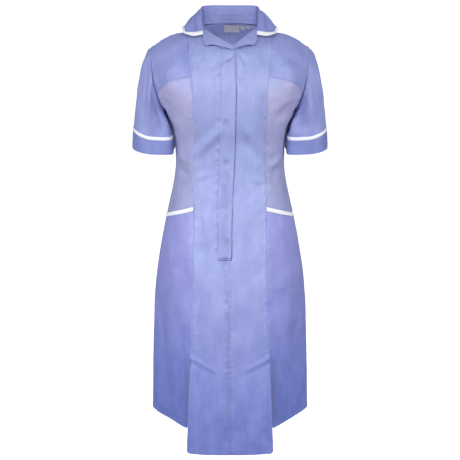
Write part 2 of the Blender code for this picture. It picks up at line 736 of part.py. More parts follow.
def add_kick_pleats(cloth):
    """The cloth inside each kick pleat, folded behind the centre front panel."""
    for side, word in ((1, "left"), (-1, "right")):
        flip = np.array((side, 1, 1))
        grid = []
        for level in PLEAT_LEVELS:
            share = (PLEAT_TOP - level) / (PLEAT_TOP - SIDE_HEM)
            loose_x, loose_y, _ = body(1.0, level, "side")
            edge_x, edge_y, _ = body(1.0, level, "centre") + (0, PLEAT_EDGE_DEPTH, 0)
            fold_x = PLEAT_FOLD_X + PLEAT_FOLD_X_RISE * (1 - share)
            fold_y = body(PLEAT_FOLD_PLACE, level, "centre")[1] + PLEAT_FOLD_DEPTH
            grid.append([
                (loose_x - 0.0006, loose_y - 0.0004, level),
                (0.5 * (loose_x + fold_x), 0.5 * (loose_y + fold_y) + 0.0030, level),
                (fold_x + 0.003, fold_y + 0.0022, level),
                (fold_x, fold_y, level),
                (fold_x + 0.003, fold_y - 0.0016, level),
                (0.5 * (edge_x + fold_x), 0.5 * (edge_y + fold_y) - 0.0012, level),
                (edge_x - 0.006, edge_y, level),
            ])
        grid = np.array(grid)
        normals = grid_normals(grid)
        if normals[0, 0, 1] < 0:
            normals = -normals
        add_sheet(f"kick_pleat_{word}", grid * flip, (grid + normals * CLOTH) * flip, cloth)


def collar_point(place, across):
    """A point of the collar: place from -1 to 1 along it, across from 0 at the neck to 1 at the edge."""
    stations = [(-row[0],) + row[1:] for row in COLLAR_STATIONS[:0:-1]] + list(COLLAR_STATIONS)
    knots = [row[0] for row in stations]
    corners = []
    for index in range(1, 5):
        values = [
            (np.array(row[index]) * ((-1, 1, 1) if row[0] < 0 else (1, 1, 1))) for row in stations
        ]
        corners.append(through(knots, values, place))
    base, fold, middle, edge = corners
    inside = unit(base - fold)
    outside = unit(middle - fold)
    reach = min(COLLAR_ROLL, COLLAR_ROLL_MOST * np.linalg.norm(base - fold))
    path = (base, fold + inside * reach, fold, fold + outside * COLLAR_ROLL, middle, edge)
    return through(COLLAR_KNOTS, path, across)


def collar_sheet(places, acrosses):
    """Points and normals of a part of the collar, rows across and columns along it."""
    grid = np.array([[collar_point(place, across) for place in places] for across in acrosses])
    step = 0.01
    normals = []
    for across in acrosses:
        row = []
        for place in places:
            along = collar_point(min(place + step, 1), across) - collar_point(max(place - step, -1), across)
            over = collar_point(place, min(across + step, 1)) - collar_point(place, max(across - step, 0))
            row.append(np.cross(over, along))
        normals.append(row)
    return grid, unit(np.array(normals))


def add_collar(cloth, white):
    """The turned-down collar and the white edge round its fall."""
    half_places = COLLAR_PLACES + (TRIM_PLACE,)
    places = [-place for place in half_places[:0:-1]] + list(half_places)
    grid, normals = collar_sheet(places, COLLAR_ACROSSES + (TRIM_ACROSS,))
    if normals[-1, len(places) // 2][1] < 0:
        normals = -normals
    add_sheet("collar", grid + normals * COLLAR_THICKNESS / 2, grid - normals * COLLAR_THICKNESS / 2, cloth)

    start_place, start_across = TRIM_PLACE + TRIM_PLACE_GAP, TRIM_ACROSS + TRIM_ACROSS_GAP
    pairs = [((start_place, across), (1.0, across)) for across in TRIM_END_ACROSSES]
    for turn in (0.25, 0.5, 0.75):
        angle = turn * np.pi / 2
        outer = (
            start_place + (1 - start_place) * np.cos(angle) ** TRIM_CORNER_POWER,
            start_across + (1 - start_across) * np.sin(angle) ** TRIM_CORNER_POWER,
        )
        inner = (
            TRIM_PLACE + TRIM_PLACE_GAP * np.cos(angle),
            TRIM_ACROSS + TRIM_ACROSS_GAP * np.sin(angle),
        )
        pairs.append((inner, outer))
    pairs += [((place, start_across), (place, 1.0)) for place in TRIM_PLACES]
    pairs += [((-a[0], a[1]), (-b[0], b[1])) for a, b in pairs[-2::-1]]
    grid = np.array([[collar_point(*spot) for spot in line] for line in zip(*pairs)])
    normals = np.array([
        [collar_sheet([place], [across])[1][0, 0] for place, across in line] for line in zip(*pairs)
    ])
    if normals[0, len(pairs) // 2][1] < 0:
        normals = -normals
    thick = BINDING_THICKNESS + TRIM_EXTRA_THICKNESS
    add_sheet("collar_trim", grid + normals * thick / 2, grid - normals * thick / 2, white)


def add_revers(cloth):
    """The two revers turned out over the fronts, from the opening edge down to their hems."""
    reach_places = [row[0] for row in REVER_REACH]
    reach_shares = [row[1] for row in REVER_REACH]
    top = UNDERARM + BODICE_RISE
    for side, word in ((1, "left"), (-1, "right")):
        grid, normals = [], []
        lifts = np.linspace(REVER_LIFT[1], REVER_LIFT[0], REVER_ROWS)[:, None, None]
        for step in range(REVER_ROWS):
            row, facing = [], []
            for place in (REVER_FIRST_PLACE[side],) + REVER_PLACES:
                reach = BODICE_RISE * through(reach_places, reach_shares, abs(place))
                level = top - reach * (1 - step / (REVER_ROWS - 1)) - REVER_TOP_GAP
                row.append(body(place * side, level, "centre"))
                facing.append(body_normal(place * side, level, "centre"))
            grid.append(row)
            normals.append(facing)
        grid, normals = np.array(grid), np.array(normals)
        inner = grid + normals * lifts
        outer = inner + normals * CLOTH
        add_sheet(f"rever_{word}", outer, inner, cloth)


def add_front_opening(cloth, stud):
    """The strip under the opening and the hidden press studs between the two layers."""
    grid, normals, depths = [], [], []
    shallow = CLOTH + LAYER_GAP
    deep = CLOTH + STUD_SPACE
    for row in range(PLACKET_END_ROW, TOP_ROW - 1):
        level = centre_level(row)
        seam = panel_seam_x(level)
        edge = lap_place(level)
        lap_end = LAP_INNER_END / seam
        places = [lap_end, 0.5 * (lap_end + edge), edge, UNDERLAP_END / seam]
        grid.append([body(place, level, "centre") for place in places])
        normals.append([body_normal(place, level, "centre") for place in places])
        depths.append([deep, deep, shallow + UNDERLAP_STEP, shallow])
    grid, normals = np.array(grid), np.array(normals)
    depths = np.array(depths)[..., None]
    outer = grid - normals * depths
    add_sheet("front_underlap", outer, outer - normals * CLOTH, cloth)

    for number, level in enumerate(STUD_LEVELS, 1):
        place = STUD_X / panel_seam_x(level)
        middle = body(place, level, "centre")
        facing = body_normal(place, level, "centre")
        up = unit(np.cross(np.array((1.0, 0, 0)), facing))
        across = unit(np.cross(up, facing))
        centre = middle - facing * (CLOTH + STUD_SPACE / 2)
        points = []
        count = STUD_SIDES
        for lift in (STUD_THICKNESS / 2, -STUD_THICKNESS / 2):
            for index in range(count):
                angle = 2 * np.pi * index / count
                spoke = across * np.cos(angle) + up * np.sin(angle)
                points.append(centre + facing * lift + spoke * STUD_RADIUS)
        faces = [tuple(range(count)), tuple(range(2 * count - 1, count - 1, -1))]
        for index in range(count):
            after = (index + 1) % count
            faces.append((after, index, count + index, count + after))
        add_object(f"press_stud_{number}", points, faces, stud, smooth=False)


def add_labels(material):
    """The bare neck label and size tabs inside the back neck."""
    top = UNDERARM + BODICE_RISE
    for name, (x_from, x_to, length) in LABELS.items():
        grid, normals = [], []
        for share in (1.0, 0.66, 0.33, 0.0):
            row, facing = [], []
            level = top - LABEL_TOP_GAP - length * LABEL_LEVEL_PER_LENGTH * share
            for x in np.linspace(x_from, x_to, 5):
                place = 4 - x / BACK_PANEL_X_AT_NECK
                row.append(body(place, level, "back"))
                facing.append(body_normal(place, level, "back"))
            grid.append(row)
            normals.append(facing)
        grid, normals = np.array(grid), np.array(normals)
        near = grid - normals * (CLOTH + LABEL_GAP)
        add_sheet(name, near, near - normals * LABEL_THICKNESS, material)


def build():
    """Clears the scene and builds the dress."""
    for old in list(bpy.data.objects):
        bpy.data.objects.remove(old, do_unlink=True)
    cloth = make_material("periwinkle_cloth", CLOTH_COLOUR, 0.82)
    white = make_material("white_binding", WHITE_COLOUR, 0.75)
    label = make_material("label_cloth", LABEL_COLOUR, 0.8)
    stud = make_material("stud_plastic", STUD_COLOUR, 0.4)
    sleeve, normals = add_body(cloth)
    add_cuffs(sleeve, normals, cloth, white)
    add_pocket_bindings(white)
    add_kick_pleats(cloth)
    add_collar(cloth, white)
    add_revers(cloth)
    add_front_opening(cloth, stud)
    add_labels(label)


build()
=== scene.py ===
"""Looks for the nurse uniform dress: fine cloth with creases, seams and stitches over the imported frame.

Lengths are metres, but millimetres in the tables. A point of the body is found by a place round it and a
level, as in the part's source: place 0 is the centre front, 1 the front panel seam, 2 the side seam, 3 the
back panel seam and 4 the centre back, negative on the viewer's left. A level is a height, and above the
underarm it rises by BODICE_RISE to the shoulder. Words left and right in names are the wearer's.
"""

import math

import bmesh
import bpy
import mathutils
import numpy as np
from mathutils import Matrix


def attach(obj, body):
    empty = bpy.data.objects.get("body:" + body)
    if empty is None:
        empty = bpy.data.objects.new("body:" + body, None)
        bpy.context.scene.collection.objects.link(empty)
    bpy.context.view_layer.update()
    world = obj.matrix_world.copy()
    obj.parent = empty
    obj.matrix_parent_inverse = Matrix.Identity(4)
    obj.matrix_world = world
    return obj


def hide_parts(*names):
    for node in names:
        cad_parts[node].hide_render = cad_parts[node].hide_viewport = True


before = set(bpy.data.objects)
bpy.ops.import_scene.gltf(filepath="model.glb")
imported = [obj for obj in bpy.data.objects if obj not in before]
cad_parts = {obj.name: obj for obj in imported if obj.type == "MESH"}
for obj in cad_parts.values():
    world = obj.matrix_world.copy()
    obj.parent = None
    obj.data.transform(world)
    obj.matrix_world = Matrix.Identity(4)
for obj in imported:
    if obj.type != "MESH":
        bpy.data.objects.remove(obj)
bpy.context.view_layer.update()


def metres(width, *numbers):
    """Rows of a given width, from millimetres."""
    return np.reshape(numbers, (-1, width)) / 1000


# Cloth, levels and sections, the same as in the part
CLOTH = 0.0012
LAYER_GAP = 0.0004
FRONT_HEM = -1.0495
SIDE_HEM = -1.030
PLEAT_TOP = -0.7845
POCKET_BOTTOM = -0.6335
PLACKET_END = -0.535
UNDERARM = -0.205
BODICE_RISE = 0.2
TOP = UNDERARM + BODICE_RISE
SECTION_ROUNDNESS = 2.2
# level, half width, front depth, back depth, half distance between the panel seams, and how nearly straight
# the sides are, in thousandths
SECTIONS = metres(
    6,
    -1060, 216, 172, 150, 111.5, 920,  -960, 212, 170, 147, 107, 860,  -888, 209.2, 168, 145, 104, 780,
    -784.5, 204, 165, 142, 98.5, 660,  -693, 198.8, 159, 140, 95, 520,  -624, 191.4, 153, 138, 92.5, 400,
    -557, 180, 146, 134, 90.7, 260,  -490, 166.8, 136, 124, 90, 120,  -430, 153.2, 124, 106, 89.3, 30,
    -380, 142, 115, 88, 88.5, 0,  -340, 136.2, 111, 78, 88, 0,  -300, 135.8, 113, 80, 87.5, 0,
    -260, 137.8, 119, 88, 87, 0,  -230, 144, 127, 98, 86.8, 0,  -205, 156, 131, 104, 86.8, 0,
)
# Bodice lines above the underarm at four places, each at five steps of a fifth of the rise: x, y, z
FRONT_LINES = metres(
    3,
    0, -133.5, -165,  0, -132.5, -125,  0, -122, -88,  0, -104, -58,  0, -85, -34,  87.6, -119, -165,
    89.5, -117.5, -125,  92.9, -102, -85,  97.2, -62, -41,  99.8, 0, -10,  139, -91.5, -174.5,
    143, -100.5, -136,  144, -92.5, -96,  145, -57, -53,  145.4, 0, -20.5,  162.5, -38, -190,  173.5, -52, -157,
    182, -53, -121,  188, -36, -80,  191, 0, -49,
).reshape(4, 5, 3)
BACK_LINES = metres(
    3,
    0, 109, -165,  0, 112, -125,  0, 110, -83,  0, 95, -38,  0, 60, 2,  88.5, 96, -165,  91, 100, -125,
    94, 94, -85,  98, 62, -41,  99.8, 0, -10,  137, 70, -173.5,  142, 83, -136,  145, 81, -97,  145.5, 53, -55,
    145.4, 0, -20.5,  161, 36, -190,  169.5, 54, -158,  177.5, 60, -121,  185.5, 42, -80,  191, 0, -49,
).reshape(4, 5, 3)
LINE_PLACES = (0.0, 1.0, 1.5, 2.0)
BACK_OF_SIDE = 2.0001
NECK_SHARE = 0.66
FRONT_NECK_POINT = (0.0, -0.085, -0.034)
SIDE_NECK_POINT = (0.0659, 0.0, 0.0)
BACK_NECK_DEPTH = 0.060
BACK_NECK_RISE = 0.002
BACK_NECK_ROUNDNESS = 2.6
NECK_SHIFT = 0.006
NECK_SHIFT_FROM = -0.120
# How the cloth softens the edges that the solids have along the shoulders and at the side seams
SHOULDER_SLOPE = (0.42, 0.26)
SHOULDER_ROUND_FROM = 0.078
SHOULDER_ROUND_OVER = 0.05
SHOULDER_ROUND_REACH = 0.027
SIDE_ROUND_SLOPE = 0.50
SIDE_ROUND_REACH = 0.028
SIDE_ROUND_FROM = 0.05
# Row levels at the panel seams and at the side seam
SKIRT_ROWS = metres(
    2,
    -1030, -1030,  -985, -985,  -940, -940,  -895, -895,  -858, -858,  -820, -820,  -784.5, -784.5,  -735, -735,
    -685, -685,  -633.5, -633.5,  -585, -590,  -535, -552,  -490, -523,  -458, -500,  -428, -475.5,
    -419.8, -467.2,  -375, -415,  -335, -365,  -300, -320,  -265, -280,  -235, -240,  -205, -205,
)
POCKET_BOTTOM_ROW, BINDING_ROW, MOUTH_ROW, UNDERARM_ROW, YOKE_ROW, TOP_ROW = 9, 14, 15, 21, 25, 30
YOKE_SHARE_AT_PANEL_SEAM = 0.518
YOKE_SHARE_AT_ARMHOLE = 0.42
# Front opening: level and x of the lapping edge, and of the stitching that closes the lap on its other side
LAP_EDGE = metres(
    2,
    -600, 0.8,  -560, 1.2,  -535, 2.8,  -440, 4,  -360, 6.8,  -300, 10.2,  -150, 13.4,  -100, 12.5,  -40, 8.5,
    -5, 6,
)
LAP_STITCH = metres(
    2,
    -535, -30.5,  -400, -30.5,  -300, -26.2,  -200, -23.5,  -40, -20,
)
UNDER_STEPS = (-0.006, -0.003, -0.0012, -0.0002, 0.0006, 0.0013, 0.0021, 0.0031, 0.0042, 0.0056)
BAR_TACK = (-0.0290, 0.0050)
# Kick pleats
PLEAT_STITCH_FROM = (0.0975, -0.7915)
PLEAT_STITCH_TO = 0.0405
PLEAT_STITCH_SLOPE = 0.43
PLEAT_STITCH_GAP = 0.0068
PLEAT_FORWARD_CENTRE = 0.040
PLEAT_FORWARD_EDGE = 0.012
PLEAT_BACKWARD = 0.039
PLEAT_OUTWARD = 0.0045
PLEAT_SPREAD_POWER = 1.3
PLEAT_SIDE_POWER = 1.2
PLEAT_FOLD_X = 0.050
PLEAT_LEVELS = (-1.024, -0.828)
# Sleeves and cuffs: middle, half width and half depth, then height, tilt and sag
SLEEVE_END = (0.1905, 0.0480, 0.056)
SLEEVE_HEM = (0.1920, 0.0505, 0.058)
SLEEVE_INNER_ROUNDNESS = 3.2
CUFF_TOP = (-0.2475, 0.0075, -0.0072)
CUFF_HEM = (-0.2975, 0.0045, -0.001)
CUFF_TRIM_HEIGHT = 0.008
# Collar: at each place x, y, z of the neck seam, of the fold, of the middle of the fall and of its edge
COLLAR_PLACES = np.array((0.00, 0.20, 0.38, 0.58, 0.80, 1.00))
COLLAR_LINES = metres(
    12,
    0, 59.8, 2.8, 0, 69, 43.7, 0, 88, 12, 0, 101, -34,  33, 56, 2, 40, 66.5, 44.1, 48, 85, 13, 54, 98, -36,
    56, 40, 2, 65.5, 54, 43.4, 80.5, 74, 16, 93, 83, -31,
    64.5, 18, 2.2, 67.6, 32, 36.5, 92.5, 38, 21.2, 112, 40, -12,
    64.5, 0, 2, 66, 0, 16.5, 89, -4, 12, 114.5, -4, -4,
    60, -23, -7.5, 62.5, -36, -13.5, 87, -44, -15.5, 109, -30, -10.5,
).reshape(6, 4, 3)
COLLAR_KNOTS = (0, 0.26, 0.33, 0.40, 0.68, 1.0)
COLLAR_FOLD_REACH = 0.0045
COLLAR_TRIM_PLACE = 0.955
COLLAR_TRIM_ACROSS = 0.925
COLLAR_THICKNESS = 0.0016
COLLAR_STITCH_SHARES = (0.055, 0.115)
REVER_PLACES = (0.0, 0.25, 0.45, 0.56, 0.62, 0.655)
REVER_REACHES = ((0.085,), (0.105,), (0.135,), (0.155,), (0.125,), (0.03,))
REVER_LIFT = (0.0012, 0.0044)
# Labels: from x, to x, length
LABELS = {
    "neck_label": (-0.0152, 0.0232, 0.026),
    "size_tab_large": (0.0258, 0.0360, 0.016),
    "size_tab_small": (0.0388, 0.0500, 0.011),
}
LABEL_THICKNESS = 0.0007
LABEL_GAP = 0.0009

# Fine grid and relief
GRID_STEP = 0.0036
FINE_STEP = 0.0014
SEAM_DEPTH = 0.0012
SEAM_WIDTH = 0.0017
PUCKER_HEIGHT = 0.0011
PUCKER_REACH = 0.010
CREASE_STRENGTH = 2.6
WAVE_HEIGHT = 0.0016
RIPPLE_HEIGHT = 0.0006
CORNER_RADIUS = 0.0085
LAP_RISE = 0.0018
HEM_DEPTH = 0.017

# Creases, one by one: from x, z to x, z, half width, height (negative is a groove)
FRONT_CREASES = metres(
    6,
    16, -48, -14, -68, 4.2, -0.8,  10, -52, -6, -84, 4.2, 0.6,  17, -48, 46, -73, 4.2, -0.8,
    18, -54, 36, -92, 4.4, 0.6,  -10, -50, -38, -66, 4.4, -0.6,  6, -62, -34, -92, 6, 1,
    4, -75, -52, -135, 9, -1,  18, -66, 46, -112, 7, 0.9,  20, -90, 66, -160, 10, -0.8,
    -6, -205, -83, -292, 10, 1.4,  -12, -236, -80, -318, 11, -1.2,  24, -200, 86, -296, 10, 1.3,
    30, -238, 82, -326, 12, -1.1,  -40, -330, -86, -352, 8, 0.8,  44, -342, 87, -360, 8, 0.7,
    -60, -420, -50, -540, 14, 1,  52, -450, 60, -600, 16, -1.1,  28, -400, 34, -520, 10, 0.8,
    -46, -610, -56, -840, 18, 1.6,  -78, -650, -86, -930, 14, -1.2,  50, -640, 60, -900, 18, 1.4,
    26, -700, 30, -1000, 13, -1.2,  -22, -760, -26, -1010, 12, 1.1,  84, -700, 92, -980, 14, 1,
    150, -178, 112, -236, 9, 1.3,  160, -160, 118, -196, 10, -1.2,  -152, -182, -110, -240, 10, 1.4,
    -162, -158, -124, -190, 9, -1,  132, -300, 98, -322, 7, 1,  131, -326, 100, -344, 8, -1,
    -133, -296, -100, -316, 8, 1.1,  -130, -332, -96, -346, 7, -0.9,  176, -98, 112, -74, 10, 1,
    -177, -104, -116, -78, 11, 1.1,  170, -76, 124, -52, 9, -0.8,  -168, -72, -120, -50, 9, -0.8,
    140, -560, 150, -860, 20, 1.4,  170, -640, 178, -960, 16, -1.3,  -142, -580, -150, -900, 19, 1.5,
    -172, -620, -182, -940, 17, -1.2,  -118, -700, -124, -1000, 13, -1.1,  120, -720, 126, -990, 13, -1,
)
BACK_CREASES = metres(
    6,
    -70, -85, 30, -78, 12, 1.2,  120, -110, 60, -155, 12, 1.4,  -126, -105, -66, -150, 12, 1.3,
    150, -170, 96, -235, 11, -1.4,  -148, -176, -92, -242, 11, -1.3,  -60, -270, 48, -284, 9, 1.7,
    -40, -302, 74, -296, 8, -1.6,  -82, -322, 20, -334, 10, 1.8,  10, -352, 86, -340, 9, 1.4,
    -90, -362, -20, -374, 10, -1.3,  120, -280, 78, -320, 10, 1.5,  -122, -286, -80, -318, 10, 1.3,
    -52, -560, -60, -860, 20, 1.8,  44, -580, 54, -900, 20, 1.7,  -10, -640, -14, -960, 17, -1.4,
    130, -600, 142, -930, 18, 1.6,  -128, -560, -140, -880, 18, 1.5,  92, -700, 100, -1000, 14, -1.3,
    -94, -680, -104, -990, 14, -1.4,  170, -640, 180, -950, 16, -1.3,  -168, -660, -178, -960, 16, -1.2,
)
# Sleeve creases: turn and share down the sleeve, from and to, half width in turns, height
SLEEVE_CREASES = (
    (0.30, 0.10, 0.50, 0.80, 0.045, 0.0014),
    (0.95, 0.05, 1.05, 0.70, 0.050, -0.0012),
    (1.60, 0.15, 1.35, 0.90, 0.050, 0.0016),
    (2.10, 0.20, 1.80, 0.95, 0.045, -0.0014),
    (2.55, 0.10, 2.30, 0.80, 0.040, 0.0015),
    (3.90, 0.10, 4.20, 0.85, 0.045, 0.0015),
    (4.40, 0.15, 4.60, 0.90, 0.050, -0.0014),
    (5.10, 0.05, 5.00, 0.75, 0.050, 0.0014),
    (5.70, 0.10, 5.60, 0.80, 0.045, -0.0012),
)
# Collar creases in shares along and across
COLLAR_CREASES = (
    (0.40, 0.60, 1.00, 0.73, 0.050, -0.0009),
    (-0.42, 0.61, -1.00, 0.74, 0.055, -0.0009),
    (0.42, 0.48, 1.00, 0.55, 0.045, 0.0007),
    (-0.44, 0.48, -1.00, 0.56, 0.045, 0.0007),
    (0.60, 0.42, 0.80, 0.90, 0.030, 0.0011),
    (-0.64, 0.42, -0.78, 0.90, 0.032, 0.0012),
    (0.84, 0.45, 0.90, 0.85, 0.022, -0.0012),
    (-0.86, 0.45, -0.91, 0.85, 0.024, -0.0011),
    (0.08, 0.05, 0.16, 0.32, 0.050, -0.0008),
    (-0.05, 0.30, -0.16, 0.08, 0.055, 0.0008),
    (-0.30, 0.06, -0.26, 0.30, 0.050, -0.0007),
)

# Darker or tinted places in the cloth: centre, radii, share, unevenness of the edge, tint if it has its own.
# The darker ones, and dark tints, are painted shade where folds, edges and dents would shade the cloth; other tints
# shift the cloth's colour. The first four on the front are the pulls at the press studs: painted shade there,
# besides the dents in the relief.
FRONT_SHADE_AND_TINT_MARKS = (
    (-10, 0, -204, 13, 1000, 14, 0.45, 1),
    (-10, 0, -305, 12, 1000, 15, 0.45, 1),
    (-11, 0, -414, 12, 1000, 14, 0.45, 1),
    (-11, 0, -494, 14, 1000, 22, 0.75, 1),
    # Painted shade just below the bar tack at the placket end.
    (-13, 0, -548, 18, 1000, 10, 0.6, 0.6),
    # Painted shade along the lapped placket.
    (-13, 0, -430, 21, 1000, 150, 0.34, 0.8),
    # Painted shade over the belly, as a dark tint.
    (0, 0, -440, 110, 1000, 150, 0.28, 1, (0.19, 0.188, 0.43)),
    (0, 0, -710, 130, 1000, 230, 0.36, 1.2, (0.35, 0.322, 0.64)),
    # Painted shade of the puckers down the centre front of the skirt.
    (-5, 0, -800, 11, 1000, 330, 0.48, 2.2),
    # Painted shadow beside the lapping edge, below the revers.
    (11.8, 0, -78, 2.6, 1000, 50, 0.75, 0.3),
    # Painted shade on the lap just below the revers.
    (-5, 0, -64, 11, 1000, 12, 0.3, 1.6),
    # Painted shadows under the lower edges of the revers.
    (-41, 0, -34.5, 20, 1000, 3.2, 0.9, 0.2),
    (-10, 0, -40, 20, 1000, 3.2, 0.9, 0.2),
    (45, 0, -34.5, 18, 1000, 3.2, 0.9, 0.2),
    (22, 0, -39.5, 16, 1000, 3.2, 0.9, 0.2),
)
# Painted shade on the collar: along the folds of the roll, in the folds of the fall at its sides and inside the back
# of the collar.
COLLAR_PAINTED_SHADE = (
    (-65.5, 20, 20, 4.2, 90, 70, 0.75, 0.4),
    (65.5, 20, 20, 4.2, 90, 70, 0.75, 0.4),
    (-82, 0, 0, 7.5, 90, 40, 0.5, 0.5),
    (84, 0, 0, 7.5, 90, 40, 0.5, 0.5),
    (0, 50, 20, 68, 60, 45, 0.38, 0.6),
)
SIDE_MARKS = (
    (-102, 0, -115, 34, 1000, 36, 0.7, 1.2, (0.345, 0.398, 0.69)),
    (102, 0, -115, 34, 1000, 36, 0.7, 1.2, (0.345, 0.398, 0.69)),
    (-97, 0, -240, 17, 1000, 65, 0.4, 1.2, (0.4, 0.33, 0.62)),
    (97, 0, -240, 17, 1000, 65, 0.4, 1.2, (0.4, 0.33, 0.62)),
)
# Painted shadow on the skirt sides beside the edges of the centre panel, over the kick pleats.
PLEAT_PAINTED_SHADOW = (
    (-111, 0, -930, 13, 1000, 165, 0.65, 0.4),
    (111, 0, -930, 13, 1000, 165, 0.65, 0.4),
)
# How dark the painted shade of the darker marks is, as a share of the cloth's dark colour.
PAINTED_SHADE_FACTOR = 0.72

# Camera and light
CAMERA_PLACE = (0, -2.10, 0.22)
CAMERA_TILT = 19.254
CAMERA_ANGLE = 29.91
FLOOR_LEVEL = -1.45
STAGE_REACH = 30.0
AMBIENT = 0.36
SKY = (0.80, 0.86, 1.0, 1)
WHITE_LIGHT = (1.0, 1.0, 1.0)
# Soft lamps: name, place, aim, cone in degrees, size, power, colour
SPOTS = (
    ("key_chest_left", (-1.35, -2.7, 1.45), (0.0, -0.1, -0.20), 20, 0.22, 119, WHITE_LIGHT),
    ("key_chest_right", (1.35, -2.7, 1.45), (0.0, -0.1, -0.20), 20, 0.22, 81, WHITE_LIGHT),
    ("key_hips_left", (-1.30, -2.7, 1.00), (0.0, -0.1, -0.66), 21, 0.22, 133, WHITE_LIGHT),
    ("key_hips_right", (1.30, -2.7, 1.00), (0.0, -0.1, -0.66), 21, 0.22, 87, WHITE_LIGHT),
    ("key_neck", (0.12, -2.40, 0.46), (0.0, 0.0, -0.015), 9, 0.10, 45, WHITE_LIGHT),
    ("inside_neck", (0.0, -0.035, -0.21), (0.0, 0.07, -0.07), 95, 0.02, 0.46, (0.64, 0.80, 1.0)),
    ("fill_left", (2.6, -1.6, 0.4), (0.0, 0.0, -0.5), 50, 0.6, 112, WHITE_LIGHT),
    ("fill_right", (-2.6, -1.6, 0.4), (0.0, 0.0, -0.5), 50, 0.6, 112, WHITE_LIGHT),
    ("fill_low", (0.0, -2.6, -1.0), (0.0, 0.0, -1.08), 24, 0.5, 45, (0.35, 0.55, 1.0)),
    ("back", (0.6, 3.2, 0.4), (0.0, 0.0, -0.5), 40, 0.5, 190, WHITE_LIGHT),
)
SIDES = ((1, "left"), (-1, "right"))
FLAT_SIZES = {}
STITCHES = {"blue": [], "white": []}


def bell(distance, width, power=2):
    """A smooth bump of height one, by the distance from its middle."""
    return np.exp(-(distance / width) ** power)


def unit(vectors):
    """The vectors at length one."""
    return vectors / np.maximum(np.linalg.norm(vectors, axis=-1, keepdims=True), 1e-12)


def hermite(start, end, start_slope, end_slope, step, share):
    """The cubic between two values with given slopes, over a step, at a share of it."""
    share, step = share[:, None], step[:, None]
    square, cube = share ** 2, share ** 3
    return (
        start * (2 * cube - 3 * square + 1) + start_slope * step * (cube - 2 * square + share)
        + end * (3 * square - 2 * cube) + end_slope * step * (cube - square)
    )


def read_lines(knots, points, at):
    """Smooth lines through points at rising knots, each line read at a place of its own."""
    knots = np.asarray(knots, float)
    steps = np.diff(knots)
    rises = np.diff(points, axis=1) / steps[:, None]
    before, after = steps[:-1, None], steps[1:, None]
    between = (rises[:, :-1] * after + rises[:, 1:] * before) / (before + after)
    slopes = np.concatenate((rises[:, :1], between, rises[:, -1:]), axis=1)
    left = np.clip(np.searchsorted(knots, at) - 1, 0, len(steps) - 1)
    rows = np.arange(len(at))
    return hermite(points[rows, left], points[rows, left + 1], slopes[rows, left], slopes[rows, left + 1],
                   steps[left], (at - knots[left]) / steps[left])


def curve(knots, values, at):
    """One smooth line through values at rising knots, read at an array of places."""
    values, at = np.asarray(values, float), np.atleast_1d(np.asarray(at, float))
    return read_lines(knots, np.broadcast_to(values, (len(at),) + values.shape), at)


def neck_edge(share, front):
    """The neck opening between its middle (0) and the side of the neck (1)."""
    side = np.array(SIDE_NECK_POINT)
    share = np.clip(share, 0, 1)[:, None]
    if front:
        return np.array(FRONT_NECK_POINT) * (1 - share) + side * share
    depth = BACK_NECK_DEPTH * (1 - share ** BACK_NECK_ROUNDNESS) ** (1 / BACK_NECK_ROUNDNESS)
    return np.concatenate((side[0] * share, depth, BACK_NECK_RISE * (1 - share)), axis=1)


def stations(quarter, front):
    """For each place of a quarter, the points of its upright line: an array of places, levels and xyz."""
    power = SECTION_ROUNDNESS
    found = []
    for level, half_width, front_depth, back_depth, seam, straight in SECTIONS:
        depth = -front_depth if front else back_depth
        x = np.minimum(quarter, 1) * seam
        flat_y = depth * np.maximum(1 - (x / half_width) ** power, 0) ** (1 / power)
        seam_turn = np.arcsin((seam / half_width) ** (power / 2))
        turn = seam_turn + (np.pi / 2 - seam_turn) * np.clip(quarter - 1, 0, 1)
        round_x = half_width * np.sin(turn) ** (2 / power)
        round_y = depth * np.maximum(np.cos(turn), 0) ** (2 / power)
        seam_y = depth * np.cos(seam_turn) ** (2 / power)
        round_x += (seam + (half_width - seam) * (quarter - 1) - round_x) * straight
        round_y += (seam_y * (2 - quarter) - round_y) * straight
        inner = quarter <= 1
        found.append(np.stack((np.where(inner, x, round_x), np.where(inner, flat_y, round_y),
                               np.full(len(quarter), level)), axis=1))
    for row in (FRONT_LINES if front else BACK_LINES).swapaxes(0, 1):
        knots = (-LINE_PLACES[1],) + LINE_PLACES
        points = curve(knots, np.concatenate((row[1:2] * (-1, 1, 1), row)), quarter)
        found.append(points)
    ridge = curve((NECK_SHARE,) + LINE_PLACES[1:], [SIDE_NECK_POINT, *row[1:]], quarter)
    in_neck = (quarter < NECK_SHARE)[:, None]
    found[-1] = np.where(in_neck, neck_edge(quarter / NECK_SHARE, front), ridge)
    return np.stack(found, axis=1)


STATION_LEVELS = np.concatenate((SECTIONS[:, 0], UNDERARM + BODICE_RISE * np.arange(1, 6) / 5))


def softened(points, place, level):
    """Rounds the cloth over the shoulder seam and round the side seam, where the solids have an edge."""
    away = np.abs(points[:, 1])
    outer = np.clip(2 - 4 * np.abs(place - 2), 0, 1)
    aside = np.clip((points[:, 0] - SHOULDER_ROUND_FROM) / SHOULDER_ROUND_OVER, 0, 1)
    aside = aside ** 2 * (3 - 2 * aside) * (level > UNDERARM)
    reach = SHOULDER_ROUND_REACH * (1 - 0.3 * outer)
    points[:, 2] += aside * (SHOULDER_SLOPE[0] + SHOULDER_SLOPE[1] * outer) * away * np.exp(-away / reach)
    straight = np.interp(level, SECTIONS[:, 0], SECTIONS[:, 5])
    aside = np.clip(points[:, 0] / SIDE_ROUND_FROM - 1, 0, 1)
    points[:, 0] += aside * SIDE_ROUND_SLOPE * straight * away * np.exp(-away / SIDE_ROUND_REACH)
    return points


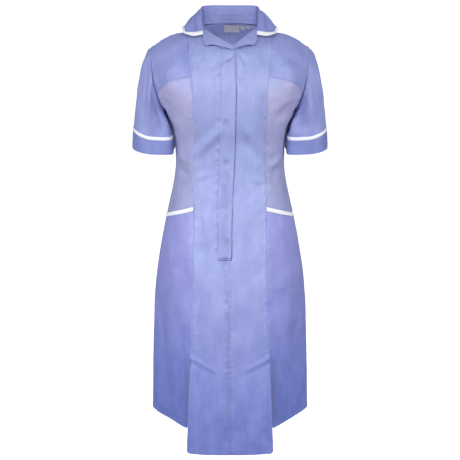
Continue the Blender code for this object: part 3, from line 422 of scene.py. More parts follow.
def body(place, level, layer):
    """Points of the smooth outer face, for arrays of places and levels. The layer is centre, side or back."""
    place, level = np.broadcast_arrays(np.asarray(place, float), np.asarray(level, float))
    shape = place.shape
    place, level = place.ravel(), level.ravel()
    place = np.where(place > 4, place - 8, place)
    mirror = place < 0
    place = np.abs(place)
    if layer == "centre":
        place = np.minimum(place, 1.0)
    if layer == "side":
        place = np.where(level < PLEAT_TOP, np.maximum(place, 1.0), place)
        place = np.where(level > UNDERARM, np.minimum(place, 2.0), place)
    if layer == "back":
        place = np.where(level > UNDERARM, np.maximum(place, BACK_OF_SIDE), place)
    points = np.empty((len(place), 3))
    front = place <= 2
    for part, quarter in ((front, place), (~front, 4 - place)):
        if part.any():
            lines = stations(quarter[part], part is front)
            points[part] = read_lines(STATION_LEVELS, lines, level[part])
    points = softened(points, place, level)
    drop = np.maximum((PLEAT_TOP - level) / (PLEAT_TOP - FRONT_HEM), 0) ** PLEAT_SPREAD_POWER
    if layer == "centre":
        points[:, 1] -= (PLEAT_FORWARD_CENTRE + PLEAT_FORWARD_EDGE * place ** 2) * drop * front
    if layer == "side":
        near = np.maximum(2 - place, 0) ** PLEAT_SIDE_POWER * drop * front
        points[:, 0] += PLEAT_OUTWARD * near
        points[:, 1] += PLEAT_BACKWARD * near
    points[mirror, 0] *= -1
    rise = np.clip((level - NECK_SHIFT_FROM) / (TOP - NECK_SHIFT_FROM), 0, 1)
    points[:, 0] += NECK_SHIFT * rise * np.maximum(1 - place / NECK_SHARE, 0) ** 2
    return points.reshape(shape + (3,))


def body_normal(place, level, layer):
    """The outward directions of the smooth face."""
    wide, tall = 0.03, 0.005
    place, level = np.broadcast_arrays(np.asarray(place, float), np.asarray(level, float))
    across = body(place + wide, level, layer) - body(place - wide, level, layer)
    if layer == "centre":
        joined = body(place + wide, level, "side") - body(place - wide, level, "side")
        across = np.where((level > PLEAT_TOP)[..., None], joined, across)
    up = body(place, np.minimum(level + tall, TOP), layer) - body(place, level - tall, layer)
    return unit(np.cross(across, up))


def seam_x(level):
    """Half the distance between the panel seams at a level."""
    return np.interp(level, SECTIONS[:, 0], SECTIONS[:, 4])


def lap_x(level):
    """How far the front opening's edge is from the middle at a level."""
    return np.interp(level, LAP_EDGE[:, 0], LAP_EDGE[:, 1])


def stitch_x(level):
    """How far the lap's closing stitches are from the middle at a level."""
    return np.interp(level, LAP_STITCH[:, 0], LAP_STITCH[:, 1])


def row_level(row, place):
    """The levels of row lines, whole or between, at places from 0 to 4."""
    row, place = np.broadcast_arrays(np.asarray(row, float), np.asarray(place, float))
    aside = 1 - np.minimum(np.abs(np.abs(place) - 2), 1)
    whole = np.arange(UNDERARM_ROW + 1)
    at_seam = np.interp(row, whole, SKIRT_ROWS[:, 0])
    at_side = np.interp(row, whole, SKIRT_ROWS[:, 1])
    lower = at_seam + (at_side - at_seam) * aside
    drop = 0.3 * aside + 0.7 * aside ** 6
    yoke = YOKE_SHARE_AT_PANEL_SEAM + (YOKE_SHARE_AT_ARMHOLE - YOKE_SHARE_AT_PANEL_SEAM) * drop
    below = yoke * (row - UNDERARM_ROW) / (YOKE_ROW - UNDERARM_ROW)
    above = yoke + (1 - yoke) * (row - YOKE_ROW) / (TOP_ROW - YOKE_ROW)
    upper = UNDERARM + BODICE_RISE * np.where(row <= YOKE_ROW, below, above)
    return np.where(row <= UNDERARM_ROW, lower, upper)


def centre_level(row):
    """The levels of rows on the centre front panel, whose hem hangs a little lower."""
    level = row_level(row, 1.0)
    share = np.maximum((PLEAT_TOP - level) / (PLEAT_TOP - SIDE_HEM), 0)
    return np.where(level < PLEAT_TOP, PLEAT_TOP + (FRONT_HEM - PLEAT_TOP) * share, level)


def fine_rows(first, last, finer=()):
    """Row numbers between two rows, about a grid step apart, or a fine step in the rows named in finer."""
    found = [float(first)]
    if first == 0:
        found += [0.01, 0.03, 0.06, 0.10]
    for row in range(first, last):
        if row < UNDERARM_ROW:
            size = abs(SKIRT_ROWS[row + 1, 0] - SKIRT_ROWS[row, 0])
        else:
            size = BODICE_RISE / (TOP_ROW - UNDERARM_ROW) * 1.25
        parts = max(2, round(size / (FINE_STEP if row in finer else GRID_STEP)))
        found += [row + (part + 1) / parts for part in range(parts)]
    return np.array(sorted(set(found)))


def eased(start, end, parts):
    """Places between two seams, closer together beside them."""
    share = np.linspace(0, 1, parts + 1)
    return start + (end - start) * (share - 0.8 * np.sin(2 * np.pi * share) / (2 * np.pi))


def wander(a, b, scale, seed):
    """Smooth uneven noise between about -1 and 1, over two coordinates."""
    draw = np.random.default_rng(seed)
    total = np.zeros(np.broadcast(a, b).shape)
    for _ in range(7):
        angle = draw.uniform(0, 2 * np.pi)
        rate = draw.uniform(0.55, 1.6) * 2 * np.pi / scale
        total += np.sin((a * np.cos(angle) + b * np.sin(angle)) * rate + draw.uniform(0, 2 * np.pi))
    return total / 4


def crease_relief(creases, across, up):
    """The height that the listed creases give at each point."""
    total = np.zeros(across.shape)
    for x_from, z_from, x_to, z_to, half_width, height in creases:
        along = np.array((x_to - x_from, z_to - z_from))
        length = np.hypot(*along)
        along = along / length
        down = (across - x_from) * along[0] + (up - z_from) * along[1]
        bend = 0.12 * half_width * np.sin(down / length * 9)
        off = (across - x_from) * along[1] - (up - z_from) * along[0] + bend
        share = np.clip(down / length, 0, 1)
        taper = np.sin(np.pi * share) ** 0.8 * ((down > 0) & (down < length))
        beside = 0.45 * bell(off - 1.9 * half_width, 1.3 * half_width)
        total += height * taper * (bell(off, half_width) - beside)
    return total


def calm_sides(depth):
    """How much of the relief stays, since the side seams hang smooth."""
    return 1 - 0.85 * bell(depth, 0.032)


def cloth_relief(points, seed):
    """Creases and slow waves over a body piece."""
    x, y, z = points[..., 0], points[..., 1], points[..., 2]
    front = np.clip(0.5 - y / 0.05, 0, 1)
    relief = front * crease_relief(FRONT_CREASES, x, z)
    relief = CREASE_STRENGTH * (relief + (1 - front) * crease_relief(BACK_CREASES, x, z))
    girth = x + np.abs(y) * 0.7
    relief = relief + WAVE_HEIGHT * wander(girth, z * 0.55, 0.070, 11)
    return (relief + RIPPLE_HEIGHT * wander(girth, z * 0.5, 0.024, seed)) * calm_sides(y)


def run_length(grid, axis):
    """How far each point is from the grid's first one along an axis."""
    steps = np.linalg.norm(np.diff(grid, axis=axis), axis=-1)
    return np.concatenate((np.zeros_like(np.take(steps, [0], axis)), np.cumsum(steps, axis=axis)), axis=axis)


def seam_relief(away, along, seed):
    """A seam's groove and its small puckers, for points some way from it."""
    pucker = PUCKER_HEIGHT * wander(along, along * 0.3, 0.019, seed) * bell(away, PUCKER_REACH)
    return pucker * np.clip(away / 0.003, 0, 1) - SEAM_DEPTH * bell(away, SEAM_WIDTH)


def node(tree, kind, inputs=None, **settings):
    """A new shader node with its settings. An input is a constant, or another node's output."""
    made = tree.nodes.new(kind)
    for name, value in settings.items():
        setattr(made, name, value)
    for socket, value in (inputs or {}).items():
        if isinstance(value, bpy.types.NodeSocket):
            tree.links.new(value, made.inputs[socket])
        else:
            made.inputs[socket].default_value = value
    return made


def woven_material(name, light, dark, low=None, levels=(-0.50, -1.02), blush=None, shade_and_tint_marks=(), thread=0.00055,
                   bump=0.25):
    """Woven cloth: fine threads over and under, faint streaks along them, uneven dye and a soft sheen.

    low holds the light and dark colours below, where they differ, and levels where they change; this is painted
    shade, darker and bluer lower down. blush is a colour that shows through in soft patches, and marks are darker or
    tinted places, the darker ones painted shade.
    """
    material = bpy.data.materials.new(name)
    material.use_nodes = True
    tree = material.node_tree
    shader = tree.nodes["Principled BSDF"]
    for socket, value in (("Roughness", 0.62), ("Specular IOR Level", 0.9), ("IOR", 1.6)):
        shader.inputs[socket].default_value = value
    where = node(tree, "ShaderNodeTexCoord").outputs

    def noise(scale, detail, coordinates, stretch=None):
        vector = where[coordinates]
        if stretch is not None:
            vector = node(tree, "ShaderNodeMapping", {"Vector": vector, "Scale": stretch}).outputs["Vector"]
        inputs = {"Scale": scale, "Detail": detail, "Vector": vector}
        return node(tree, "ShaderNodeTexNoise", inputs).outputs["Fac"]

    def sum_of(value, share, rest):
        inputs = {0: value, 1: share, 2: rest}
        return node(tree, "ShaderNodeMath", inputs, operation="MULTIPLY_ADD").outputs["Value"]

    def shades(pale, full):
        ramp = node(tree, "ShaderNodeValToRGB", {"Fac": dye})
        for element, position, shade in zip(ramp.color_ramp.elements, (0.36, 0.64), (full, pale)):
            element.position = position
            element.color = (*shade, 1)
        return ramp.outputs["Color"]

    def tinted(colour, value, limits, tint):
        names = ("Value", "From Min", "From Max", "To Min", "To Max")
        inputs = dict(zip(names, (value, *limits)))
        fade = node(tree, "ShaderNodeMapRange", inputs, interpolation_type="SMOOTHSTEP").outputs["Result"]
        blend = node(tree, "ShaderNodeMix", {"Factor": fade}, data_type="RGBA")
        one, two = (socket for socket in blend.inputs if socket.type == "RGBA")
        tree.links.new(colour, one)
        if isinstance(tint, tuple):
            two.default_value = (*tint, 1)
        else:
            tree.links.new(tint, two)
        return next(socket for socket in blend.outputs if socket.type == "RGBA")

    waves = []
    for direction in "XY":
        inputs = {"Scale": 0.1 / thread, "Distortion": 0.6, "Detail": 1.0, "Detail Scale": 2.0,
                  "Vector": where["UV"]}
        waves.append(node(tree, "ShaderNodeTexWave", inputs, wave_type="BANDS", bands_direction=direction,
                          wave_profile="SIN").outputs["Fac"])
    threads = node(tree, "ShaderNodeMath", dict(enumerate(waves)), operation="MULTIPLY").outputs["Value"]
    slub = noise(1.0, 3, "UV", (420, 420, 420))
    dye = sum_of(slub, 0.15, 0.0)
    dye = sum_of(noise(1.0, 3, "UV", (130, 9, 1)), 0.22, dye)
    dye = sum_of(noise(1.0, 3, "UV", (11, 150, 1)), 0.13, dye)
    dye = sum_of(noise(1.0, 4, "Object", (34, 34, 20)), 0.50, dye)
    colour = shades(light, dark)
    if blush is not None:
        colour = tinted(colour, noise(9.0, 2.0, "Object"), (0.44, 0.68, 0.0, 0.6), blush)
    # Painted shade: lower down the colour turns to the darker, bluer low colours.
    if low is not None:
        height = node(tree, "ShaderNodeSeparateXYZ", {0: where["Object"]}).outputs["Z"]
        colour = tinted(colour, height, (*levels, 0.0, 1.0), shades(*low))
    # The darker marks, and dark tints, are painted shade of folds, edges and dents; other tints shift the cloth's
    # colour.
    for *spot, share, uneven, tint in ((mark if len(mark) > 8 else mark + (None,)) for mark in shade_and_tint_marks):
        inputs = {"Vector": where["Object"], "Location": [-at / radius for at, radius in zip(spot, spot[3:])],
                  "Scale": [1000 / radius for radius in spot[3:]]}
        place = node(tree, "ShaderNodeMapping", inputs).outputs["Vector"]
        away = node(tree, "ShaderNodeVectorMath", {0: place}, operation="LENGTH").outputs["Value"]
        edge = sum_of(noise(75.0, 2.0, "Object"), uneven, away)
        limits = (1 + 0.5 * uneven, 0.2 + 0.5 * uneven, 0.0, share)
        colour = tinted(colour, edge, limits, tint or tuple(PAINTED_SHADE_FACTOR * part for part in dark))
    tree.links.new(colour, shader.inputs["Base Color"])
    inputs = {"Strength": bump, "Distance": 0.00012, "Height": sum_of(slub, 0.6, threads)}
    tree.links.new(node(tree, "ShaderNodeBump", inputs).outputs["Normal"], shader.inputs["Normal"])
    return material


def add_mesh(name, points, faces, uvs, material):
    """One mesh object, smooth but for its sharp borders."""
    mesh = bpy.data.meshes.new(name)
    mesh.from_pydata(np.asarray(points).tolist(), [], faces)
    mesh.update()
    if uvs is not None:
        layer = mesh.uv_layers.new(name="UVMap")
        index = np.empty(len(mesh.loops), np.int32)
        mesh.loops.foreach_get("vertex_index", index)
        layer.data.foreach_set("uv", np.asarray(uvs, np.float32)[index].ravel())
    mesh.shade_smooth()
    mesh.set_sharp_from_angle(angle=math.radians(60))
    made = bpy.data.objects.new(name, mesh)
    bpy.context.collection.objects.link(made)
    mesh.materials.append(material)
    return made


def sheet_mesh(name, outer, inner, material, ring=False):
    """A sheet of cloth between two grids, with UVs in metres. Returns the object and its one-sided area."""
    rows, columns = outer.shape[:2]
    count = rows * columns
    spans = np.arange(columns if ring else columns - 1)
    ahead = (spans + 1) % columns
    starts = np.arange(rows - 1)[:, None] * columns
    a, b = (starts + spans).ravel(), (starts + ahead).ravel()
    front = np.stack((a, b, b + columns, a + columns), axis=1)
    faces = [front, (front + count)[:, ::-1]]
    edges = [(ahead, spans), (count - columns + spans, count - columns + ahead)]
    if not ring:
        edges += [(starts[:, 0], starts[:, 0] + columns),
                  (starts[:, 0] + 2 * columns - 1, starts[:, 0] + columns - 1)]
    faces += [np.stack((a, b, b + count, a + count), axis=1) for a, b in edges]
    faces = np.concatenate(faces)
    points = np.concatenate((outer.reshape(-1, 3), inner.reshape(-1, 3)))
    corners = points[front]
    area = 0.5 * np.linalg.norm(np.cross(corners[:, 2] - corners[:, 0], corners[:, 3] - corners[:, 1]), axis=1).sum()
    one, two, three, four = (points[faces[:, corner]] for corner in range(4))
    if np.sum(one * np.cross(two, three)) + np.sum(one * np.cross(three, four)) < 0:
        faces = faces[:, ::-1]
    uv = np.stack((run_length(outer, 1), run_length(outer, 0)), axis=-1).reshape(-1, 2)
    return add_mesh(name, points, faces.tolist(), np.concatenate((uv, uv)), material), area


def mirrored(grid):
    """A grid seen in a mirror, with its columns turned so that it still faces outward."""
    return grid[:, ::-1] * (-1, 1, 1)


def add_sheet(name, replaced, outer, inner, material, held=None, flip=False, flat=None, ring=False):
    """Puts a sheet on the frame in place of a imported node. Where it is held somehow, says how large it was cut."""
    if flip:
        outer, inner = mirrored(outer), mirrored(inner)
    piece, area = sheet_mesh(name, outer, inner, material, ring)
    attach(piece, "root")
    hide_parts(replaced)
    if held is None:
        return piece
    grid = outer if flat is None else flat
    across = run_length(grid, 1)[:, -1].max()
    if ring:
        across += np.linalg.norm(grid[:, 0] - grid[:, -1], axis=-1).max()
    width, length = round(float(across), 3), round(float(run_length(grid, 0)[-1].max()), 3)
    area = min(float(area), width * length)
    FLAT_SIZES[name] = (width, length, round(area, 4))
    return piece


def hem_groove(level, hem, pocket=False):
    """The shallow line of stitching above a hem, and the slight fullness of the turned-up cloth."""
    above = level - hem
    line = -0.0011 * bell(above - HEM_DEPTH, 0.0016)
    if pocket:
        line = line - 0.0005 * bell(level - POCKET_BOTTOM, 0.0016)
    return line + 0.0005 * np.clip((HEM_DEPTH - above) / 0.004, 0, 1)


def pleat_line(x):
    """The level of the slanted stitching over a kick pleat."""
    return PLEAT_STITCH_FROM[1] - (PLEAT_STITCH_FROM[0] - x) * PLEAT_STITCH_SLOPE


def pleat_fan(x, level):
    """The two slanted rows of stitching over a kick pleat and the fullness between and below them."""
    out = np.abs(x)
    above = level - pleat_line(out)
    second = above + PLEAT_STITCH_GAP
    share = (PLEAT_STITCH_FROM[0] - out) / (PLEAT_STITCH_FROM[0] - PLEAT_STITCH_TO)
    fade = np.clip((1.15 - share) / 0.25, 0, 1) * np.clip((share + 0.3) / 0.2, 0, 1)
    relief = -0.0012 * bell(above, 0.0017) - 0.0004 * bell(second, 0.0014)
    relief += 0.0003 * bell(above + PLEAT_STITCH_GAP / 2, 0.0022)
    relief += 0.0019 * bell(second + 0.006, 0.006) - 0.0010 * bell(second + 0.020, 0.006)
    return relief * fade


def opening_relief(x, level):
    """The lapped front: its rolled edge, its closing stitches and the pulls at the studs under it."""
    edge, stitches = lap_x(level), stitch_x(level)
    inside = x - stitches
    relief = LAP_RISE * np.clip(inside / 0.006, 0, 1)
    relief += 0.0008 * bell(edge - x - 0.003, 0.004) - 0.0007 * bell(inside, 0.0013)
    relief += 0.0016 * wander(level, x * 0, 0.016, 47) * bell(inside + 0.003, 0.005)
    relief += 0.0010 * bell(x - 0.5 * (stitches + edge), 0.009) * wander(level, x * 2, 0.040, 5)
    for mark in FRONT_SHADE_AND_TINT_MARKS[:4]:
        far = np.hypot((x - mark[0] / 1000) * 1.1, level - mark[2] / 1000)
        relief -= 0.0012 * bell(far, 0.0095, 4)
    return relief


def add_centre_fronts(material):
    """The two centre fronts. The wearer's right one laps over the other down to the placket end."""
    rows = fine_rows(0, TOP_ROW, finer=(4, 5, 6))
    level = centre_level(rows)[:, None]
    seam = seam_x(level)
    edge = lap_x(level) / seam
    corner = np.clip(CORNER_RADIUS - (level - FRONT_HEM), 0, CORNER_RADIUS)
    cut = (CORNER_RADIUS - np.sqrt(CORNER_RADIUS ** 2 - corner ** 2)) / seam
    every = np.ones_like(level)
    for side, word in SIDES[::-1]:
        if side < 0:
            share = np.linspace(0, 1, 19)[1:]
            parts = (every * eased(-1.0, -0.34, 30), -0.34 + (edge + 0.34) * share)
        else:
            near = np.array(UNDER_STEPS) / seam + edge
            share = np.linspace(0, 1, 6)[1:-1]
            parts = (near, near[:, -1:] + (0.22 - near[:, -1:]) * share, every * eased(0.22, 1.0, 34))
        places = np.concatenate(parts, axis=1)
        places = places * (1 - cut * np.abs(places))
        levels = level + 0 * places
        grid = body(places, levels, "centre")
        normals = body_normal(places, levels, "centre")
        from_left = run_length(grid, 1)
        from_seam = from_left if side < 0 else from_left[:, -1:] - from_left
        joined = np.clip((levels - PLEAT_TOP) / 0.004 + 1, 0, 1)
        x = grid[..., 0]
        relief = cloth_relief(grid, 21 + side) + hem_groove(levels, FRONT_HEM) + pleat_fan(x, levels)
        relief += seam_relief(from_seam, levels, 31 + side) * joined
        beyond = x - lap_x(levels)
        opened = np.clip((levels - PLACKET_END + 0.010) / 0.010, 0, 1)
        if side < 0:
            relief += opened * opening_relief(x, levels)
        else:
            relief -= 0.0014 * opened * np.clip(1 - (beyond - 0.0008) / 0.0022, 0, 1)
            relief += opened * 0.0006 * wander(levels, x, 0.020, 49) * bell(beyond - 0.010, 0.012)
        relief += (1 - opened) * 0.9 * seam_relief(np.abs(beyond), levels, 41)
        mottle = wander(levels, x * 1.4, 0.021, 43) * bell(beyond + 0.0085, 0.0065)
        relief += (1 - opened) * 0.0018 * np.minimum(mottle, 0.1)
        relief -= 0.0012 * bell(levels - PLACKET_END + 0.004, 0.004) * bell(x + 0.006, 0.013, 4)
        outer = grid + normals * relief[..., None]
        add_sheet(f"cloth_centre_front_{word}", f"centre_front_{word}", outer, outer - normals * CLOTH * 0.85,
                  material, "hung")


def add_body_piece(name, layer, places, rows, material, seed, hem=None, edges="lr", lift=None, binding=None):
    """A piece of the side or the back, on both sides of the body."""
    places, rows = np.meshgrid(places, rows)
    levels = row_level(rows, places)
    grid = body(places, levels, layer)
    normals = body_normal(places, levels, layer)
    left, bottom = run_length(grid, 1), run_length(grid, 0)
    for side, word in SIDES:
        relief = cloth_relief(grid * (side, 1, 1), seed + side)
        calm = calm_sides(grid[..., 1])
        borders = {
            "l": (left, levels, seed + 2 * side + 5, calm),
            "r": (left[:, -1:] - left, levels, seed + 2 * side + 9, calm),
            "t": (bottom[-1:] - bottom, left, seed + 13, 1),
            "b": (bottom, left, seed + 13, 1),
        }
        for border in edges:
            away, along, draw, share = borders[border]
            relief += seam_relief(away, along, draw) * share
        if hem is not None:
            relief += hem_groove(levels, hem, pocket=binding is not None)
        if binding is not None:
            free = np.clip((PLEAT_TOP + 0.010 - levels) / 0.020, 0, 1)
            relief *= 1 - free * bell(left, 0.016)
        if lift is not None:
            relief += lift(rows)
        outer = grid + normals * relief[..., None]
        add_sheet(f"cloth_{name}_{word}", f"{name}_{word}", outer, outer - normals * CLOTH * 0.85, material,
                  "hung", flip=side < 0)


def add_sides_and_back(material, upper, warm_painted_light, deep_painted_shade):
    """Yokes, side fronts, skirt sides and back panels."""
    front = eased(1.0, 2.0, 34)

    def sunk(rows):
        return -(CLOTH + LAYER_GAP) * np.clip((MOUTH_ROW + 1 - rows) / 0.6, 0, 1)

    add_body_piece("yoke_front", "side", front, fine_rows(YOKE_ROW, TOP_ROW), upper, 101, edges="lrtb")
    add_body_piece("bodice_side_front", "side", front, fine_rows(POCKET_BOTTOM_ROW, YOKE_ROW), warm_painted_light, 131,
                   edges="lrt", lift=sunk)
    add_body_piece("skirt_side_front", "side", front, fine_rows(0, MOUTH_ROW), deep_painted_shade, 161, hem=SIDE_HEM,
                   binding="binding_pocket")
    rows = fine_rows(0, TOP_ROW)
    add_body_piece("side_back", "back", eased(BACK_OF_SIDE, 3.0, 34), rows, material, 191, hem=SIDE_HEM,
                   edges="lrt")
    add_body_piece("centre_back", "back", eased(3.0, 4.0, 24), rows, material, 221, hem=SIDE_HEM)


def sleeve_section(turn, size, level):
    """Points of a sleeve ring. A turn of 0 faces outward and a quarter turn faces the front."""
    middle, half_width, half_depth = size
    out, depth = np.cos(turn), np.sin(turn)
    power = np.where(out > 0, 2.0, SLEEVE_INNER_ROUNDNESS)
    share = np.sign(out) * np.abs(out) ** (2 / power)
    y = -np.sign(depth) * half_depth * np.abs(depth) ** (2 / power)
    x = middle + half_width * share
    bulge = 0.1375 * (1 - (1 - np.minimum(np.abs(y) / 0.115, 1) ** 2.2) ** (1 / 2.2))
    x = x - np.where(out < 0, np.minimum(bulge, 0.010) * np.minimum(-out * 2, 1), 0)
    height, tilt, sag = level
    z = height + tilt * out + sag * (1 - np.cos(2 * turn)) / 2
    return np.stack((x, y, z), axis=-1)


def sleeve_grid(parts_round, parts_down, parts_cuff):
    """A fine sleeve from its hem up to the armhole."""
    half = TOP_ROW - UNDERARM_ROW
    turn = np.arange(parts_round) / parts_round
    index = turn * 2 * half
    front = index <= half
    row = np.where(front, TOP_ROW - index, TOP_ROW - (2 * half - index))
    level = row_level(row, 2.0)
    start = np.where(front[:, None], body(2.0, level, "side"), body(BACK_OF_SIDE, level, "back"))
    turn = turn * 2 * np.pi
    hem = sleeve_section(turn, SLEEVE_HEM, CUFF_HEM)
    end = sleeve_section(turn, SLEEVE_END, CUFF_TOP)
    crown = np.maximum(np.cos(turn), 0.0)[:, None] ** 1.2
    under = np.maximum(-np.cos(turn), 0.0)[:, None] ** 1.2
    flank = 1 - crown - under
    zero = np.zeros_like(turn)
    lean = np.stack((zero + 0.055, -0.030 * np.sin(turn), zero - 0.090), axis=1)
    leave = crown * (0.078, 0.0, -0.055) + flank * lean + under * (-0.004, 0.0, -0.055)
    arrive = crown * (0.030, 0.0, -0.240) + flank * (0.004, 0.0, -0.150) + under * (0.002, 0.0, -0.050)
    rows = [hem + (end - hem) * part / parts_cuff for part in range(parts_cuff)]
    one = np.ones(parts_round)
    rows += [hermite(start, end, leave, arrive, one, one * (1 - part / parts_down))
             for part in range(parts_down + 1)]
    return np.array(rows)


def ring_normals(grid):
    """Outward directions of a closed ring of columns."""
    across = np.roll(grid, -1, axis=1) - np.roll(grid, 1, axis=1)
    normals = unit(np.cross(across, np.gradient(grid, axis=0)))
    centre = grid.mean(axis=1, keepdims=True)
    return normals * np.sign(np.sum(normals * (grid - centre), axis=-1).mean())


def add_sleeves(material, shaded_cuff_material, white):
    """Sleeves, turned-back cuffs and their white bound tops."""
    parts_cuff = 12
    grid = sleeve_grid(108, 52, parts_cuff)
    normals = ring_normals(grid)
    turns = np.arange(grid.shape[1]) / grid.shape[1] * 2 * np.pi
    shares = np.clip((len(grid) - 1 - np.arange(len(grid))) / (len(grid) - 1 - parts_cuff), 0, 1)
    turn, share = np.meshgrid(turns, shares)
    up = run_length(grid, 0)
    trim = (1 - CUFF_TRIM_HEIGHT / np.linalg.norm(grid[parts_cuff] - grid[0], axis=-1))[:, None]
    for side, word in SIDES:
        flip = side < 0
        creases = [(a + 0.12 * side, b, c - 0.1 * side, d, e * 3.2, f) for a, b, c, d, e, f in SLEEVE_CREASES]
        relief = CREASE_STRENGTH * crease_relief(creases, turn, share) * (share > 0.02)
        relief += 0.0009 * wander(turn * 0.06, share * 0.2, 0.06, 301 + side)
        relief += 1.3 * seam_relief(up[-1:] - up, turn * 0.06, 311 + side)
        relief *= np.clip((1.02 - share) / 0.15, 0.15, 1)
        outer = grid + normals * relief[..., None]
        add_sheet(f"cloth_sleeve_{word}", f"sleeve_{word}", outer, outer - normals * CLOTH * 0.85, material,
                  "hung", flip, ring=True)

        wall = grid + normals * (0.0002 * wander(turn * 0.06, up, 0.03, 321 + side))[..., None]
        reach = wall[parts_cuff] - wall[0]
        shares = np.linspace(0, 1, 7)[:, None, None]
        strip = wall[0] + reach * (trim + (1 - trim) * shares)
        facing = normals[parts_cuff][None]
        swell = np.sin(np.pi * np.clip(shares, 0.04, 0.96)) ** 0.5
        ripple = 1 + 0.12 * wander(turn[:7] * 0.06, turn[:7] * 0, 0.012, 331)[..., None]
        outer = strip + facing * (LAYER_GAP + 0.0005 + 0.0014 * swell * ripple)
        binding = add_sheet(f"binding_cuff_{word}", f"cuff_trim_{word}", outer, strip + facing * LAYER_GAP, white,
                            flip=flip, ring=True)

        shares = np.linspace(0, 1, 9)[:, None, None]
        band = wall[0] + reach * (trim * shares)
        facing = unit(normals[0] * (1 - shares) + normals[parts_cuff] * shares)
        outer = band + facing * (LAYER_GAP + CLOTH - 0.0004 * bell(shares, 0.12))
        add_sheet(f"cloth_cuff_{word}", f"cuff_{word}", outer, band + facing * LAYER_GAP, shaded_cuff_material,
                  "folded", flip, ring=True)


def add_pocket_bindings(white):
    """The white bound edge of each pocket mouth."""
    places, rows = np.meshgrid(eased(1.0, 2.0, 34), np.linspace(BINDING_ROW, MOUTH_ROW + 0.03, 8))
    levels = row_level(rows, places)
    grid = body(places, levels, "side")
    normals = body_normal(places, levels, "side")
    swell = np.sin(np.pi * np.linspace(0.03, 0.97, len(rows)))[:, None] ** 0.5
    ends = 1 - 0.35 * bell(np.linspace(0, 1, places.shape[1]), 0.02)
    for side, word in SIDES:
        ripple = 1 + 0.10 * wander(places * 0.15, levels * 0, 0.014, 351 + side)
        height = 0.0007 + 0.0012 * swell * ends * ripple
        add_sheet(f"binding_pocket_{word}", f"pocket_binding_{word}", grid + normals * height[..., None],
                  grid + normals * 0.0004, white, flip=side < 0)


def add_kick_pleats(material):
    """The folded cloth inside each kick pleat, behind the centre front."""
    for side, word in SIDES:
        grid = []
        for level in np.linspace(*PLEAT_LEVELS, 44):
            share = (PLEAT_TOP - level) / (PLEAT_TOP - SIDE_HEM)
            loose = body(1.0, level, "side")
            behind = body(1.0, level, "centre") + (0, 0.0036, 0)
            fold_y = float(body(PLEAT_FOLD_X / 0.1, level, "centre")[1]) + 0.0075
            fold_x = PLEAT_FOLD_X + 0.012 * (1 - share)
            path = (
                (loose[0] - 0.0002, loose[1] - 0.0002),
                (0.5 * (loose[0] + fold_x), 0.5 * (loose[1] + fold_y) + 0.0030),
                (fold_x + 0.003, fold_y + 0.0022),
                (fold_x, fold_y),
                (fold_x + 0.003, fold_y - 0.0016),
                (0.5 * (behind[0] + fold_x), 0.5 * (behind[1] + fold_y) - 0.0012),
                (behind[0] - 0.006, behind[1]),
            )
            line = curve((0, 0.42, 0.90, 1.0, 1.1, 1.55, 2.0), path, np.linspace(0, 2, 33))
            grid.append(np.concatenate((line, np.full((33, 1), level)), axis=1))
        grid = np.array(grid)
        normals = unit(np.cross(np.gradient(grid, axis=1), np.gradient(grid, axis=0)))
        normals = normals * np.sign(normals[0, 0, 1])
        relief = 0.0005 * wander(grid[..., 0], grid[..., 2], 0.05, 371 + side)
        grid = grid + normals * relief[..., None]
        add_sheet(f"cloth_kick_pleat_{word}", f"kick_pleat_{word}", grid, grid + normals * CLOTH * 0.8, material,
                  "folded", flip=side < 0)


def collar(places, acrosses):
    """Collar points for matching arrays of places (-1 to 1) and shares across (0 to 1)."""
    places, acrosses = np.broadcast_arrays(np.asarray(places, float), np.asarray(acrosses, float))
    shape = places.shape
    places, acrosses = np.clip(places.ravel(), -1, 1), acrosses.ravel()
    knots = np.concatenate((-COLLAR_PLACES[:0:-1], COLLAR_PLACES))
    lines = np.concatenate((COLLAR_LINES[:0:-1] * (-1, 1, 1), COLLAR_LINES))
    base, fold, middle, edge = (curve(knots, lines[:, corner], places) for corner in range(4))
    inside, outside = unit(base - fold), unit(middle - fold)
    reach = np.minimum(COLLAR_FOLD_REACH, 0.45 * np.linalg.norm(base - fold, axis=1))[:, None]
    path = np.stack((base, fold + inside * reach, fold, fold + outside * COLLAR_FOLD_REACH, middle, edge), axis=1)
    return read_lines(COLLAR_KNOTS, path, acrosses).reshape(shape + (3,))


def collar_normal(places, acrosses):
    """Directions out of the collar's face: outward on the fall and inward on the stand."""
    step = 0.008
    along = collar(places + step, acrosses) - collar(places - step, acrosses)
    low, high = np.maximum(acrosses - step, 0), np.minimum(acrosses + step, 1)
    return unit(np.cross(along, collar(places, high) - collar(places, low)))


